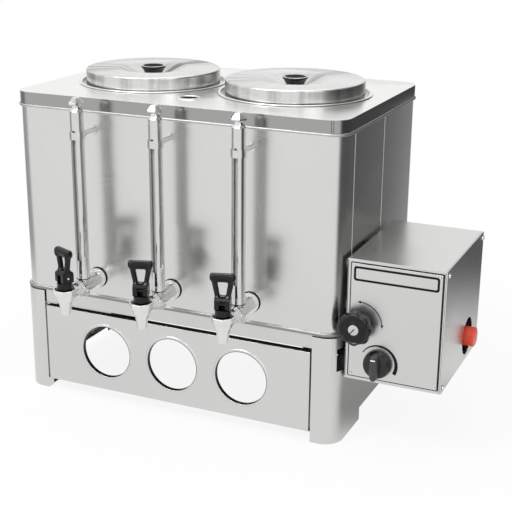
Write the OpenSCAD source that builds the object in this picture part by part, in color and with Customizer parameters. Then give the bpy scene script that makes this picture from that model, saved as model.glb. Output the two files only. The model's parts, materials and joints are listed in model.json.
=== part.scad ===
// Twin-crock coffee urn: a gas-heated water tank with two lidded crocks, three gauge taps and a control box.
// Millimetres, +Z up. The front faces -Y. The origin is under the middle of the whole urn, on the floor.

/* [Tank] */
// Width of the tank shell
tank_w = 540; // [530:1:600]
// Depth of the tank shell, front to back
tank_d = 351; // [345:1:400]
// Outer radius of the tank shell's upright corners
tank_r = 27; // [20:1:29]
// Thickness of the body sheet
sheet = 1.5; // [1.2:0.1:1.8]
// Height of the deck above the floor
deck_z = 490; // [486:1:540]
// Height of the deck's skirt
skirt_h = 23; // [18:1:26]
// How far the rolled hems stand out of their sheet
hem = 1.2; // [0.8:0.1:1.4]
// Height of the rolled hems
hem_h = 3; // [2:0.5:4]
// Height of the tank floor above the bottom of the tank shell
floor_lift = 14; // [10:1:16]
// Height of the upturned edge of the tank floor
floor_rim_h = 10; // [6:1:14]
// Radius of the fill hole in the deck
fill_r = 13.5; // [10:0.5:16]
// Width of the raised rim round the fill hole
fill_rim_w = 4; // [3:0.5:6]
// Height of the raised rim round the fill hole
fill_rim_h = 1.6; // [1:0.2:3]
// Distance from the deck's front edge to the middle of the fill hole
fill_y = 66; // [60:1:72]

/* [Base] */
// Height of the base rail's lower edge above the floor
rail_z = 151; // [150:1:154]
// Height of the base rail
rail_h = 26; // [24:1:30]
// Width of the ledge inside the base rail that the tank shell stands on
ledge_w = 12; // [8:1:16]
// Height of the legs
leg_h = 170; // [168:1:174]
// Width of a leg across the front or back
leg_front_w = 42; // [38:1:46]
// Width of a leg along the side
leg_side_w = 104; // [98:1:110]
// Depth of the folded lip at a leg's inner edge
lip_d = 14; // [12:1:18]
// Size of the foot plate inside a leg, each way
foot_w = 40; // [36:1:46]
// Thickness of the foot plates
foot_t = 3; // [2:0.5:4]
// Radius of the hole in each foot plate
foot_hole_r = 5; // [4:0.5:6]
// Height of the panels above the floor
panel_lift = 17; // [14:1:20]
// Height of the front panel's upper edge above the floor
panel_top = 145; // [143:1:146]
// Gap between the front panel and each leg
panel_gap = 2.6; // [2:0.1:4]
// Depth of the folded edges of the panels
panel_flange = 12; // [8:1:12]
// How far the side and rear panels reach behind the legs
panel_lap = 9; // [7:1:10]
// Radius of the round air holes
air_r = 43; // [38:0.5:46]
// Distance between the air holes
air_pitch = 118; // [112:1:126]
// Height of the air holes' middle above the floor
air_z = 83; // [78:1:86]
// Width of the raised rim round an air hole
air_rim_w = 4; // [3:0.5:5]
// How far the raised rim stands out
air_rim_h = 1.5; // [1:0.1:2]
// Width of the pipe notch in the right front leg
notch_w = 52; // [44:1:54]
// Height of the bottom of the pipe notch
notch_z = 117; // [112:1:122]
// Distance from the front of the leg to the notch
notch_y = 7; // [5:1:9]

/* [Crocks and lids] */
// Distance between the crocks' axes
crock_pitch = 248; // [246:1:256]
// How far the crocks' axes lie behind the middle of the tank
crock_y = 3; // [0:1:8]
// Outer radius of a crock's wall
crock_r = 100; // [94:1:101]
// Thickness of a crock's wall
crock_t = 1.2; // [1:0.1:1.6]
// Height of the crocks' bottom above the floor
crock_z = 188; // [186:1:190]
// Radius to the middle of the rolled rim round a crock
rim_r = 118; // [117:0.5:119]
// Radius of the rolled rim's wire
rim_wire_r = 2.4; // [2:0.1:2.6]
// Depth of the trough that a lid stands in
trough_d = 7; // [6:0.5:9]
// Outer radius of the radius between a crock's wall and its bottom
crock_bottom_r = 12; // [8:1:15]
// Radius of a crock's outlet tube
outlet_r = 12; // [11:0.5:13]
// Outer radius of a lid
lid_r = 108; // [106:0.5:109]
// Thickness of a lid's sheet
lid_t = 1.2; // [1:0.1:1.5]
// Height of a lid's top above the deck
lid_top = 22; // [20:1:28]
// Radius of a lid's rounded upper edge
lid_edge_r = 3; // [2:0.5:4]
// Radius of the dish in the middle of a lid
dish_r = 62; // [56:1:70]
// Depth of the dish
dish_d = 12; // [8:1:14]
// Radius of the flat in the middle of the dish
dish_flat_r = 17; // [15:1:20]
// Radius of a lid knob at its foot
knob_foot_r = 12; // [10:0.5:14]
// Radius of a lid knob at its top
knob_top_r = 20; // [18:0.5:22]
// Height of a lid knob
knob_h = 15; // [13:0.5:20]
// Depth of the hollow in the top of a lid knob
knob_hollow = 3.5; // [2:0.5:5]
// Radius of the screw that holds a lid knob
knob_screw_r = 2.5; // [2:0.1:3]

/* [Burner] */
// Height of the gas pipe and burner above the floor
gas_z = 138; // [136:1:139]
// Outer radius of the gas pipe
gas_r = 6; // [5:0.5:7]
// Radius of the burner tube
burner_r = 14; // [12:0.5:14.5]
// Length of the burner tube
burner_l = 340; // [300:1:360]
// Number of port slots along each side of the burner
burner_ports = 14; // [8:1:18]
// Thickness of the burner tube's wall
burner_t = 1.5; // [1.2:0.1:2]
// Distance between the two burner straps
strap_pitch = 260; // [220:1:280]
// Width of a burner strap
strap_w = 44; // [40:1:60]

/* [Taps] */
// Distance between the taps
tap_pitch = 131; // [124:1:134]
// Height of the taps' inlet axis above the floor
tap_z = 207; // [206:1:210]
// Distance from the tank wall to the gauge tube's axis
gauge_out = 42; // [40:1:46]
// Distance from the tank wall to the axis of a tap's cup
cup_out = 93; // [91:1:98]
// Radius of the threaded shank through the tank wall
shank_r = 8; // [7:0.5:9]
// Radius of the water way through shank and tee
water_r = 5; // [4:0.5:5.5]
// Radius of the tee's round body
tee_r = 11.5; // [11:0.1:12]
// Width across the flats of the flange nut
nut_af = 26; // [25:0.5:28]
// Thickness of the flange nut
nut_t = 9; // [7:0.5:10]
// Radius of the flange nut's round face
nut_face_r = 15.5; // [14.5:0.5:17]
// Radius of the wing nut's barrel
wing_r = 12.5; // [12:0.5:14]
// Thickness of the wing nut
wing_t = 10; // [8:0.5:12]
// Reach of a wing from the nut's axis
wing_reach = 22; // [20:0.5:25]
// Width across the flats of a tap cup's eight-sided rim
cup_af = 36; // [34:0.5:38]
// Height of the upright rim of a tap cup
cup_rim_h = 9; // [7:0.5:10]
// Height of the cup's upper edge above the tap axis
cup_rise = 11; // [10:0.5:12]
// Depth from the tap axis to the tip of the spout
spout_drop = 30; // [28:0.5:32]
// Width across the flats of the spout's tip
spout_af = 13; // [12:0.5:15]
// Radius of the spout's bore
spout_bore_r = 4.5; // [3.5:0.5:5]
// Radius of the chamber inside a tap cup
chamber_r = 10.6; // [10:0.2:11]
// Radius of a bonnet's cap
bonnet_r = 11.6; // [11.2:0.1:12]
// Height of a bonnet's cap above the cup
bonnet_h = 10; // [9:0.5:11]
// Radius of a tap stem
stem_r = 3; // [2.5:0.1:3.2]
// Radius of the hinge pin through a handle
pin_r = 1.6; // [1.4:0.1:2]
// Width of a handle's hub
hub_w = 22; // [20:0.5:24]
// Depth of a handle's hub
hub_d = 19; // [17:0.5:19]
// Height of a handle's hub
hub_h = 14.5; // [14:0.5:16]
// Width of a handle's top bar
bar_w = 38; // [35:0.5:42]
// Height of a handle's top above the cup
handle_h = 63; // [58:1:70]
// Depth of a handle's arms, front to back
arm_d = 8; // [6:0.5:10]
// Height of a handle's top bar
bar_h = 9; // [8:0.5:10]
// Turn of the left handle to the left, in degrees
left_yaw = -24; // [-35:1:0]
// Turn of the middle handle to the right, in degrees
middle_yaw = 18; // [0:1:30]
// Turn of the right handle to the right, in degrees
right_yaw = 16; // [0:1:30]

/* [Gauges] */
// Outer radius of a gauge shield
shield_r = 10; // [9.5:0.1:10.5]
// Thickness of a gauge shield's wall
shield_t = 1.2; // [1:0.1:1.5]
// Width of the window slot in a gauge shield
slot_w = 6.5; // [5:0.5:8]
// Width of the narrow seam below the window slot
seam_w = 1.2; // [1:0.1:1.6]
// Height of the lower end of the window slot above the tap axis
slot_lift = 40; // [36:1:50]
// Outer radius of a gauge glass
glass_r = 6; // [5.5:0.1:6.4]
// Thickness of a gauge glass's wall
glass_t = 1.2; // [1:0.1:1.4]
// Depth from the deck down to the top of a gauge shield
shield_drop = 13; // [11:1:16]
// Depth from the deck down to the top of the gauge collar
collar_drop = 43; // [40:1:60]
// Height of a gauge collar
collar_h = 11; // [9:0.5:13]
// Outer radius of a gauge collar
collar_r = 11.5; // [11.2:0.1:12.5]
// Width of a gauge cap across its flats
cap_af = 21; // [20.8:0.1:22]
// Height of a gauge cap
gauge_cap_h = 20; // [18:0.5:22]

/* [Control box] */
// Width of the control box
box_w = 145; // [142:1:160]
// Depth of the control box, front to back
box_d = 211; // [205:1:230]
// Height of the control box
box_h = 185; // [183:1:195]
// Height of the control box's bottom above the floor
box_z = 106; // [105:1:107]
// Distance from the front of the legs back to the front of the control box
box_back = 22; // [20:1:24]
// Gap between the legs and the control box
box_gap = 1.8; // [1.4:0.1:3]
// Thickness of the label plate
plate_t = 1; // [0.8:0.1:1.5]
// Margin round the label plate
plate_margin = 6; // [5:0.5:8]
// Radius of the rivets in the label plate
rivet_r = 2; // [1.6:0.1:2.4]
// Radius of the big hole in the side cover
inlet_hole_r = 29; // [26:0.5:30]
// Distance from the front of the box back to the gas inlet
inlet_y = 145; // [138:1:150]
// Height of the gas inlet above the bottom of the box
inlet_z = 37; // [36:1:40]
// Outer radius of the gas inlet's thread
inlet_r = 10.5; // [10:0.1:11]
// Outer radius of the inlet cap
cap_r = 15; // [13.5:0.5:16]
// How far the inlet cap stands out of the box
cap_out = 13; // [12:0.5:16]
// Distance from the left of the box to the gas cock's axis
cock_x = 20; // [19:0.5:24]
// Height of the gas cock's axis above the bottom of the box
cock_z = 87; // [85:1:92]
// Outer radius of the gas cock's knob
cock_knob_r = 26; // [24:0.5:27]
// Number of lobes round the gas cock's knob
cock_lobes = 8; // [6:1:10]
// Distance from the label plate to the face of a knob
knob_out = 26; // [24:0.5:32]
// Distance from the left of the box to the thermostat's axis
thermo_x = 51; // [49:0.5:56]
// Height of the thermostat's axis above the bottom of the box
thermo_z = 31.5; // [30:0.5:33]
// Radius of the thermostat's knob
thermo_knob_r = 21; // [19:0.5:22]

/* [Hidden] */
// Every round face is cut finely enough to look round
$fn = 72;
// Gap between pieces that rest on or lie against each other
seat = 0.3;
// Gap round a shaft that turns or slides in its bore
run = 0.05;
// Gap round a piece that passes through a hole
clear = 0.5;
// Overrun of every cut past the face that it opens
cut = 1;
// Steps in the curved outlines that a formula draws
curve_steps = 16;

// The tank shell stands inside the rail and the deck's skirt, and the legs stand outside the rail
skin = sheet + seat;
rail_w = tank_w + 2 * skin;
rail_d = tank_d + 2 * skin;
rail_r = tank_r + skin;
leg_w = rail_w + 2 * skin;
leg_d = rail_d + 2 * skin;
leg_r = rail_r + skin;
shell_z = rail_z + sheet + seat;
shell_top = deck_z - sheet - seat;
floor_z = shell_z + floor_lift;
wall_y = -tank_d / 2;
front_y = -leg_d / 2;

// Where the tank's middle lies, so that the whole urn's middle is the origin
box_x = leg_w / 2 + box_gap;
box_right = box_x + box_w;
box_y = front_y + box_back;
cup_y = wall_y - cup_out;
urn_right = box_right + cap_out;
urn_front = cup_y - cup_af / 2;
urn_x = -(urn_right - leg_w / 2) / 2;
urn_y = -(urn_front + leg_d / 2) / 2;

// Air holes, crocks and taps are spaced evenly about the tank's middle
trio = [-1, 0, 1];
yaws = [left_yaw, middle_yaw, right_yaw];
ledge_z = deck_z - trough_d;
trough_r = rim_r - rim_wire_r + crock_t / 2;
lid_z = ledge_z + crock_t + seat;
lid_h = deck_z + lid_top - lid_z;
dish_z = deck_z + lid_top - dish_d;

// The parts of a tap, stacked outward from the tank wall and upward from the tap axis
gauge_y = wall_y - gauge_out;
gasket_t = 1.5;
groove_w = 2.5;
nut_y = wall_y - gasket_t - 2 * seat;
tee_y = nut_y - nut_t - seat;
wing_y = gauge_y - tee_r - groove_w - seat;
tee_l = tee_y - wing_y - seat;
neck_y = wing_y - seat;
cup_top = tap_z + cup_rise;
seat_z = tap_z - 0.82 * cup_rise;
valve_r = 0.8 * chamber_r;
valve_h = 3.4;
valve_neck_r = 0.62 * chamber_r;
bonnet_skirt = 8;
bonnet_bore_r = 0.75 * chamber_r;
bonnet_top = cup_top + seat + bonnet_h;
spring_low = seat_z + seat + 2 * valve_h + seat;
spring_high = bonnet_top - bonnet_h / 3 - seat;
spring_wire_r = 0.7;
spring_r = 0.53 * chamber_r;
spring_turns = 5;
spring_steps = 12;
hub_gap = 0.4;
hub_z = bonnet_top + hub_gap;
pin_z = hub_z + hub_h / 2;
eye_r = 5;
eye_w = 7;
shank_inner = 24;
slot_low = tap_z + slot_lift;
tee_boss_z = tap_z + tee_r;
shield_low = tee_boss_z + gasket_t / 2 + 2 * seat;
shield_top = deck_z - shield_drop;
collar_top = deck_z - collar_drop;
slot_high = collar_top + slot_w / 2;
glass_low = tap_z + water_r + seat;
glass_cover = 6;
glass_high = shield_top + glass_cover;

// The control box's pieces are measured from its lower left front corner
cover_x = box_right - sheet;
inlet_axis_y = box_y + inlet_y;
inlet_axis_z = box_z + inlet_z;
cock_axis_x = box_x + cock_x;
cock_axis_z = box_z + cock_z;
thermo_axis_x = box_x + thermo_x;
thermo_axis_z = box_z + thermo_z;
plate_y = box_y - seat - plate_t;
knob_face_y = plate_y - knob_out;
pipe_y = box_y + 19;
box_flange = 12;
screw_r = 2.2;
screw_in = 8;
screw_head_r = 4;
screw_head_t = 2.4;
stem_hole_r = 6.5;
cock_stem_r = 4;
thermo_stem_r = 4.5;
thermo_body_w = 36;
thermo_body_h = 34;
foot_up_shares = [0.54, 0.87];
foot_back_shares = [0.19, 0.78];

// Shared shapes

// Places a piece that is drawn about the tank's middle
module urn() translate([urn_x, urn_y, 0]) children();

// A rectangle with round corners, about its own middle
module round_rect(w, d, r) {
  square([w - 2 * r, d], center = true);
  square([w, d - 2 * r], center = true);
  for (sx = [-1, 1], sy = [-1, 1])
    translate([sx * (w / 2 - r), sy * (d / 2 - r)]) circle(r);
}

// A wall of sheet that runs round a rectangle with round corners
module sheet_ring(w, d, r, t, h)
  linear_extrude(h) difference() {
    round_rect(w, d, r);
    round_rect(w - 2 * t, d - 2 * t, r - t);
  }

// A cylinder whose axis runs from its base towards -Y
module rod_y(r, h) rotate([90, 0, 0]) cylinder(h = h, r = r);

// A hexagon whose axis runs from its base towards -Y, with a flat on top
module hex_y(af, h) rotate([90, 0, 0]) cylinder(h = h, r = af / sqrt(3), $fn = 6);

// An eight-sided prism or taper with a flat to the front
module octagon(h, af1, af2)
  rotate([0, 0, 180 / 8]) cylinder(h = h, r1 = af1 / 2 / cos(180 / 8), r2 = af2 / 2 / cos(180 / 8), $fn = 8);

// Points on a round edge between two angles
function arc(c, r, a0, a1, n) = [for (i = [0 : n]) c + r * [cos(a0 + (a1 - a0) * i / n), sin(a0 + (a1 - a0) * i / n)]];

// Tank and deck

module tank_shell() color("silver") urn() difference() {
  translate([0, 0, shell_z]) sheet_ring(tank_w, tank_d, tank_r, sheet, shell_top - shell_z);
  for (i = trio)
    translate([i * tap_pitch, wall_y + sheet + cut, tap_z]) rod_y(shank_r + clear, sheet + 2 * cut);
}

module tank_floor() color("silver") urn() translate([0, 0, floor_z]) {
  linear_extrude(sheet) round_rect(tank_w - 2 * skin, tank_d - 2 * skin, tank_r - skin);
  sheet_ring(tank_w - 2 * skin, tank_d - 2 * skin, tank_r - skin, sheet, floor_rim_h);
}

module top_deck() color("gainsboro") urn() {
  difference() {
    translate([0, 0, deck_z - sheet]) linear_extrude(sheet) round_rect(rail_w, rail_d, rail_r);
    for (s = [-1, 1])
      translate([s * crock_pitch / 2, crock_y, deck_z - sheet - cut])
        cylinder(h = sheet + 2 * cut, r = trough_r + seat);
    translate([0, -rail_d / 2 + fill_y, deck_z - sheet - cut]) cylinder(h = sheet + 2 * cut, r = fill_r);
  }
  translate([0, 0, deck_z - skirt_h]) sheet_ring(rail_w, rail_d, rail_r, sheet, skirt_h - sheet);
  translate([0, 0, deck_z - skirt_h])
    sheet_ring(rail_w + 2 * hem, rail_d + 2 * hem, rail_r + hem, hem + sheet / 2, hem_h);
  translate([0, -rail_d / 2 + fill_y, deck_z]) rotate_extrude() translate([fill_r, 0]) difference() {
    scale([1, fill_rim_h / (fill_rim_w / 2)]) translate([fill_rim_w / 2, 0]) circle(fill_rim_w / 2);
    translate([-cut, -fill_rim_h - cut]) square([fill_rim_w + 2 * cut, fill_rim_h + cut]);
  }
}

module base_rail() color("silver") urn() translate([0, 0, rail_z]) {
  sheet_ring(rail_w, rail_d, rail_r, sheet, rail_h);
  translate([0, 0, rail_h - hem_h])
    sheet_ring(rail_w + 2 * hem, rail_d + 2 * hem, rail_r + hem, hem + sheet / 2, hem_h);
  sheet_ring(rail_w, rail_d, rail_r, ledge_w, sheet);
}

// Crocks and lids

// A crock's outline from its middle out and up: the outer face, or with a wall's thickness the inner face
function crock_outline(t, top) = [
  [0, crock_z + t],
  each arc([crock_r - crock_bottom_r, crock_z + crock_bottom_r], crock_bottom_r - t, -90, 0, curve_steps / 2),
  [crock_r - t, ledge_z + t], [trough_r - t, ledge_z + t], [trough_r - t, top], [0, top]];
bead_z = deck_z + rim_wire_r + seat;

module crock(s) color("lightgray") urn() translate([s * crock_pitch / 2, crock_y, 0]) difference() {
  union() {
    rotate_extrude() polygon(crock_outline(0, bead_z + crock_t / 2));
    rotate_extrude() translate([rim_r, bead_z]) circle(rim_wire_r);
    translate([s * (tap_pitch - crock_pitch / 2), -crock_r + crock_r / 5, tap_z])
      rod_y(outlet_r, outlet_l(s) + crock_r / 5);
  }
  rotate_extrude() polygon(crock_outline(crock_t, bead_z + rim_wire_r + cut));
  translate([s * (tap_pitch - crock_pitch / 2), -crock_r + crock_r / 5 + cut, tap_z])
    rod_y(shank_r + seat, outlet_l(s) + crock_r / 5 + 2 * cut);
}

// An outlet tube reaches from the crock's wall to just behind the lock nut
function outlet_l(s) = crock_y - crock_r - (wall_y + shank_inner - nut_t);

module left_crock() crock(-1);
module right_crock() crock(1);

// Height of a lid's top surface at a radius, from the rim of the dish to its flat middle
function dish_at(r) = -dish_d * (1 + cos(180 * (r - dish_flat_r) / (dish_r - dish_flat_r))) / 2;
dish_curve = [for (i = [0 : curve_steps]) let (r = dish_r + (dish_flat_r - dish_r) * i / curve_steps) [r, dish_at(r)]];

module lid(s) color("gainsboro") urn() translate([s * crock_pitch / 2, crock_y, lid_z])
  rotate_extrude() polygon([
    [lid_r - lid_t, 0], [lid_r, 0],
    each arc([lid_r - lid_edge_r, lid_h - lid_edge_r], lid_edge_r, 0, 90, curve_steps / 4),
    each [for (p = dish_curve) p + [0, lid_h]],
    [knob_screw_r + seat, lid_h - dish_d],
    [knob_screw_r + seat, lid_h - dish_d - lid_t],
    each [for (i = [curve_steps : -1 : 0]) dish_curve[i] + [0, lid_h - lid_t]],
    each arc([lid_r - lid_edge_r, lid_h - lid_edge_r], lid_edge_r - lid_t, 90, 0, curve_steps / 4)]);

module left_lid() lid(-1);
module right_lid() lid(1);

// A flared knob, narrow at the foot, with a rolled rim and a hollow top
module lid_knob(s) color("#222222") urn() translate([s * crock_pitch / 2, crock_y, dish_z + seat])
  difference() {
    rotate_extrude() polygon([
      [0, 0], [knob_foot_r, 0], [knob_foot_r + knob_h / 12, knob_h / 10],
      [knob_top_r - knob_h / 10, knob_h * 0.72],
      each arc([knob_top_r - knob_h / 8, knob_h * 0.86], knob_h / 8, -60, 90, curve_steps / 2),
      [knob_top_r - knob_h / 4, knob_h * 0.98],
      each [for (i = [1 : curve_steps / 2]) let (k = i / (curve_steps / 2))
        [(knob_top_r - knob_h / 4) * (1 - k), knob_h * 0.98 - knob_hollow * sin(90 * k)]]]);
    translate([0, 0, -cut]) cylinder(h = knob_h * 0.6 + cut, r = knob_screw_r + run);
  }

module left_lid_knob() lid_knob(-1);
module right_lid_knob() lid_knob(1);

// The knob's screw comes up through the lid from a domed head below it
module knob_screw(s) color("silver") urn()
  translate([s * crock_pitch / 2, crock_y, dish_z - lid_t - seat]) {
    cylinder(h = lid_t + 2 * seat + knob_h / 2, r = knob_screw_r);
    translate([0, 0, -knob_screw_r]) cylinder(h = knob_screw_r, r1 = 1.5 * knob_screw_r, r2 = 2.4 * knob_screw_r);
  }

module left_knob_screw() knob_screw(-1);
module right_knob_screw() knob_screw(1);

// Base

// The region of a corner that a leg keeps of a full ring
module corner_region(sx, sy, w, d, h)
  translate([sx * (leg_w / 2 - w), sy * (leg_d / 2 - d), 0])
    mirror([sx > 0 ? 0 : 1, 0, 0]) mirror([0, sy > 0 ? 0 : 1, 0]) cube([w + cut, d + cut, h]);

// A leg is a corner of folded sheet with a foot plate
module leg(sx, sy) {
  intersection() {
    sheet_ring(leg_w, leg_d, leg_r, sheet, leg_h);
    corner_region(sx, sy, leg_front_w, leg_side_w, leg_h);
  }
  linear_extrude(foot_t) difference() {
    intersection() {
      round_rect(leg_w - sheet, leg_d - sheet, leg_r - sheet / 2);
      translate([sx * (leg_w - foot_w) / 2, sy * (leg_d - foot_w) / 2]) square(foot_w, center = true);
    }
    translate([sx * (leg_w / 2 - foot_w / 2), sy * (leg_d / 2 - foot_w / 2)]) circle(foot_hole_r);
  }
}

// The front legs also have a folded lip at their inner edge, with a shelf that the front panel stands on
module front_leg(sx) {
  leg(sx, -1);
  translate([sx * (leg_w / 2 - leg_front_w + sheet / 2), front_y + lip_d / 2, (rail_z - seat) / 2])
    cube([sheet, lip_d, rail_z - seat], center = true);
  translate([sx * (leg_w / 2 - leg_front_w - lip_d / 2 + sheet), front_y + sheet * 2 + lip_d / 2 - sheet,
      panel_lift - seat - sheet / 2])
    cube([lip_d, lip_d - 2 * sheet, sheet], center = true);
}

module front_left_leg() color("silver") urn() front_leg(-1);

// The right front leg is notched for the gas pipe from the control box
module front_right_leg() color("silver") urn() difference() {
  front_leg(1);
  translate([leg_w / 2 - leg_r - cut, front_y + notch_y, notch_z]) cube([leg_r + 2 * cut, notch_w, leg_h]);
}

module rear_legs() color("silver") urn() for (sx = [-1, 1]) leg(sx, 1);

// A flat side panel laps behind both legs and stands under the rail
side_panel_w = leg_d - 2 * leg_side_w + 2 * panel_lap;
module side_panel(sx) color("silver") urn() mirror([sx > 0 ? 0 : 1, 0, 0])
  translate([rail_w / 2 - sheet, -side_panel_w / 2, panel_lift]) {
    cube([sheet, side_panel_w, rail_z - seat - panel_lift]);
    translate([-panel_flange + sheet, 0, 0]) cube([panel_flange, side_panel_w, sheet]);
  }

module left_panel() side_panel(-1);
module right_panel() side_panel(1);

// The rear panel has the same round air holes as the front one
rear_panel_w = leg_w - 2 * leg_front_w + 2 * panel_lap;
module rear_panel() color("silver") urn() difference() {
  translate([-rear_panel_w / 2, rail_d / 2 - sheet, panel_lift]) {
    cube([rear_panel_w, sheet, rail_z - seat - panel_lift]);
    translate([0, -panel_flange + sheet, 0]) cube([rear_panel_w, panel_flange, sheet]);
  }
  for (i = trio) translate([i * air_pitch, rail_d / 2 + cut, air_z]) rod_y(air_r, sheet + 2 * cut);
}

// The front panel is a shallow tray with three air holes in raised rims
front_panel_w = leg_w - 2 * leg_front_w - 2 * panel_gap;
module front_panel() color("gainsboro") urn() {
  difference() {
    translate([-front_panel_w / 2, front_y, panel_lift]) difference() {
      cube([front_panel_w, panel_flange, panel_top - panel_lift]);
      translate([sheet, sheet, sheet]) cube([front_panel_w - 2 * sheet, panel_flange, panel_top - panel_lift - 2 * sheet]);
    }
    for (i = trio) translate([i * air_pitch, front_y + panel_flange, air_z]) rod_y(air_r, panel_flange + cut);
  }
  for (i = trio) translate([i * air_pitch, front_y + sheet, air_z]) rotate([90, 0, 0]) rotate_extrude()
    polygon([[air_r, 0], [air_r + air_rim_w, 0], [air_r + air_rim_w, sheet], [air_r + air_rim_w * 0.7, sheet + air_rim_h * 0.8],
      [air_r + air_rim_w * 0.4, sheet + air_rim_h], [air_r, sheet + air_rim_h * 0.7]]);
}

// Burner and gas pipe

strap_t = 2;
port_w = 1.2;
port_h = 7;
bell_l = 26;
bell_r = burner_r * 0.8;
nozzle_r = 1.5;

module burner() color("dimgray") urn() translate([-bell_l / 2, 0, gas_z]) difference() {
  union() {
    rotate([0, 90, 0]) translate([0, 0, -burner_l / 2]) cylinder(h = burner_l, r = burner_r);
    translate([burner_l / 2 - cut, 0, 0]) rotate([0, 90, 0]) cylinder(h = bell_l, r1 = burner_r * 0.6, r2 = bell_r);
  }
  rotate([0, 90, 0]) translate([0, 0, -burner_l / 2 + burner_t]) cylinder(h = burner_l - 2 * burner_t, r = burner_r - burner_t);
  translate([burner_l / 2 - 2 * burner_t, 0, 0]) rotate([0, 90, 0])
    cylinder(h = bell_l + 3 * burner_t, r1 = burner_r * 0.6 - burner_t, r2 = bell_r - burner_t);
  for (i = [0 : burner_ports - 1], s = [-1, 1])
    translate([(i - (burner_ports - 1) / 2) * (burner_l - 4 * burner_r) / burner_ports, 0, 0]) rotate([s * 40, 0, 0])
      translate([-port_w / 2, -port_h / 2, 0]) cube([port_w, port_h, burner_r + cut]);
}

// Two straps hang from the tank floor and hold the burner in a hole
module burner_straps() color("gray") urn() for (s = [-1, 1])
  translate([s * strap_pitch / 2 - strap_t / 2 - bell_l / 2, 0, 0]) difference() {
    translate([0, -strap_w / 2, gas_z - burner_r * 1.5]) cube([strap_t, strap_w, floor_z - seat - gas_z + burner_r * 1.5]);
    translate([-cut, 0, gas_z]) rotate([0, 90, 0]) cylinder(h = strap_t + 2 * cut, r = burner_r + seat);
  }

// The gas pipe leaves the thermostat, passes the leg's notch and turns back to the burner's bell
nozzle_x = burner_l / 2 + bell_l / 2 + cut;
elbow_x = nozzle_x + 4 * gas_r;
pipe_start = thermo_axis_x - thermo_body_w / 2 - seat;
module gas_pipe() color("darkgoldenrod") urn() difference() {
  union() {
    translate([elbow_x, pipe_y, gas_z]) rotate([0, 90, 0]) cylinder(h = pipe_start - elbow_x, r = gas_r);
    translate([elbow_x, pipe_y, gas_z]) sphere(gas_r * 1.25);
    translate([elbow_x, 0, gas_z]) rod_y(gas_r, -pipe_y);
    translate([elbow_x, 0, gas_z]) sphere(gas_r * 1.25);
    translate([nozzle_x, 0, gas_z]) rotate([0, 90, 0]) cylinder(h = elbow_x - nozzle_x, r = gas_r);
  }
  translate([nozzle_x - cut, 0, gas_z]) rotate([0, 90, 0]) cylinder(h = 2 * gas_r, r = nozzle_r);
}

// Taps

module at_tap(i) urn() translate([i * tap_pitch, 0, 0]) children();
module at_cup(i, turned) at_tap(i) translate([0, cup_y, 0]) rotate([0, 0, turned ? yaws[i + 1] : 0]) children();

// Gaskets at the tank wall and under each gauge shield
module tap_gaskets() color("#222222") for (i = trio) at_tap(i) {
  translate([0, wall_y - seat, tap_z]) difference() {
    rod_y(nut_face_r + gasket_t / 2, gasket_t);
    translate([0, cut, 0]) rod_y(shank_r + seat, gasket_t + 2 * cut);
  }
  translate([0, gauge_y, tee_boss_z + seat]) difference() {
    cylinder(h = gasket_t / 2, r = shield_r + gasket_t / 3);
    translate([0, 0, -cut]) cylinder(h = gasket_t + 2 * cut, r = glass_r + seat);
  }
}

module flange_nuts() color("silver") for (i = trio) at_tap(i) translate([0, nut_y, tap_z]) difference() {
  union() {
    rod_y(nut_face_r, nut_t / 3);
    hex_y(nut_af, nut_t);
  }
  translate([0, cut, 0]) rod_y(shank_r + seat / 2, nut_t + 2 * cut);
}

module lock_nuts() color("silver") for (i = trio) at_tap(i)
  translate([0, wall_y + sheet + seat + nut_t / 1.5, tap_z]) difference() {
    hex_y(nut_af, nut_t / 1.5);
    translate([0, cut, 0]) rod_y(shank_r + seat / 2, nut_t / 1.5 + 2 * cut);
  }

// A tee holds the shank through the wall, the gauge's boss and the threaded end for the wing nut
module gauge_tees() color("silver") for (i = trio) at_tap(i) difference() {
  union() {
    translate([0, wall_y + shank_inner, tap_z]) rod_y(shank_r, shank_inner + (wall_y - tee_y) + tee_l);
    translate([0, tee_y, tap_z]) rod_y(tee_r, tee_l - groove_w);
    translate([0, gauge_y, tap_z]) cylinder(h = tee_r, r = shield_r);
  }
  translate([0, wall_y + shank_inner + cut, tap_z]) rod_y(water_r, shank_inner + (wall_y - tee_y) + tee_l + 2 * cut);
  translate([0, gauge_y, tap_z]) cylinder(h = tee_r + cut, r = water_r - glass_t / 2);
  translate([0, gauge_y, glass_low - seat]) cylinder(h = tee_r + cut, r = glass_r + seat / 2);
}

// The wing nut's two leaves, drawn as a plate with round tips
module wing_outline() {
  circle(wing_r);
  for (s = [-1, 1]) {
    translate([s * (wing_reach - wing_r / 2.5), -wing_r / 4]) circle(wing_r / 2.5);
    polygon([[s * wing_r / 3, wing_r * 0.9], [s * (wing_reach - wing_r / 2.5), wing_r * 0.15],
      [s * (wing_reach - wing_r / 2.5), -wing_r * 0.65], [s * wing_r / 3, -wing_r * 0.9]]);
  }
}

module wing_nuts() color("silver") for (i = trio) at_tap(i) translate([0, wing_y, tap_z]) difference() {
  union() {
    rod_y(wing_r, wing_t);
    translate([0, -wing_t / 4, 0]) rotate([90, 0, 0]) linear_extrude(wing_t / 2) wing_outline();
  }
  translate([0, -wing_t / 3, 0]) rod_y(water_r + wing_t / 4 + seat, wing_t);
  translate([0, cut, 0]) rod_y(water_r, wing_t);
}

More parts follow.
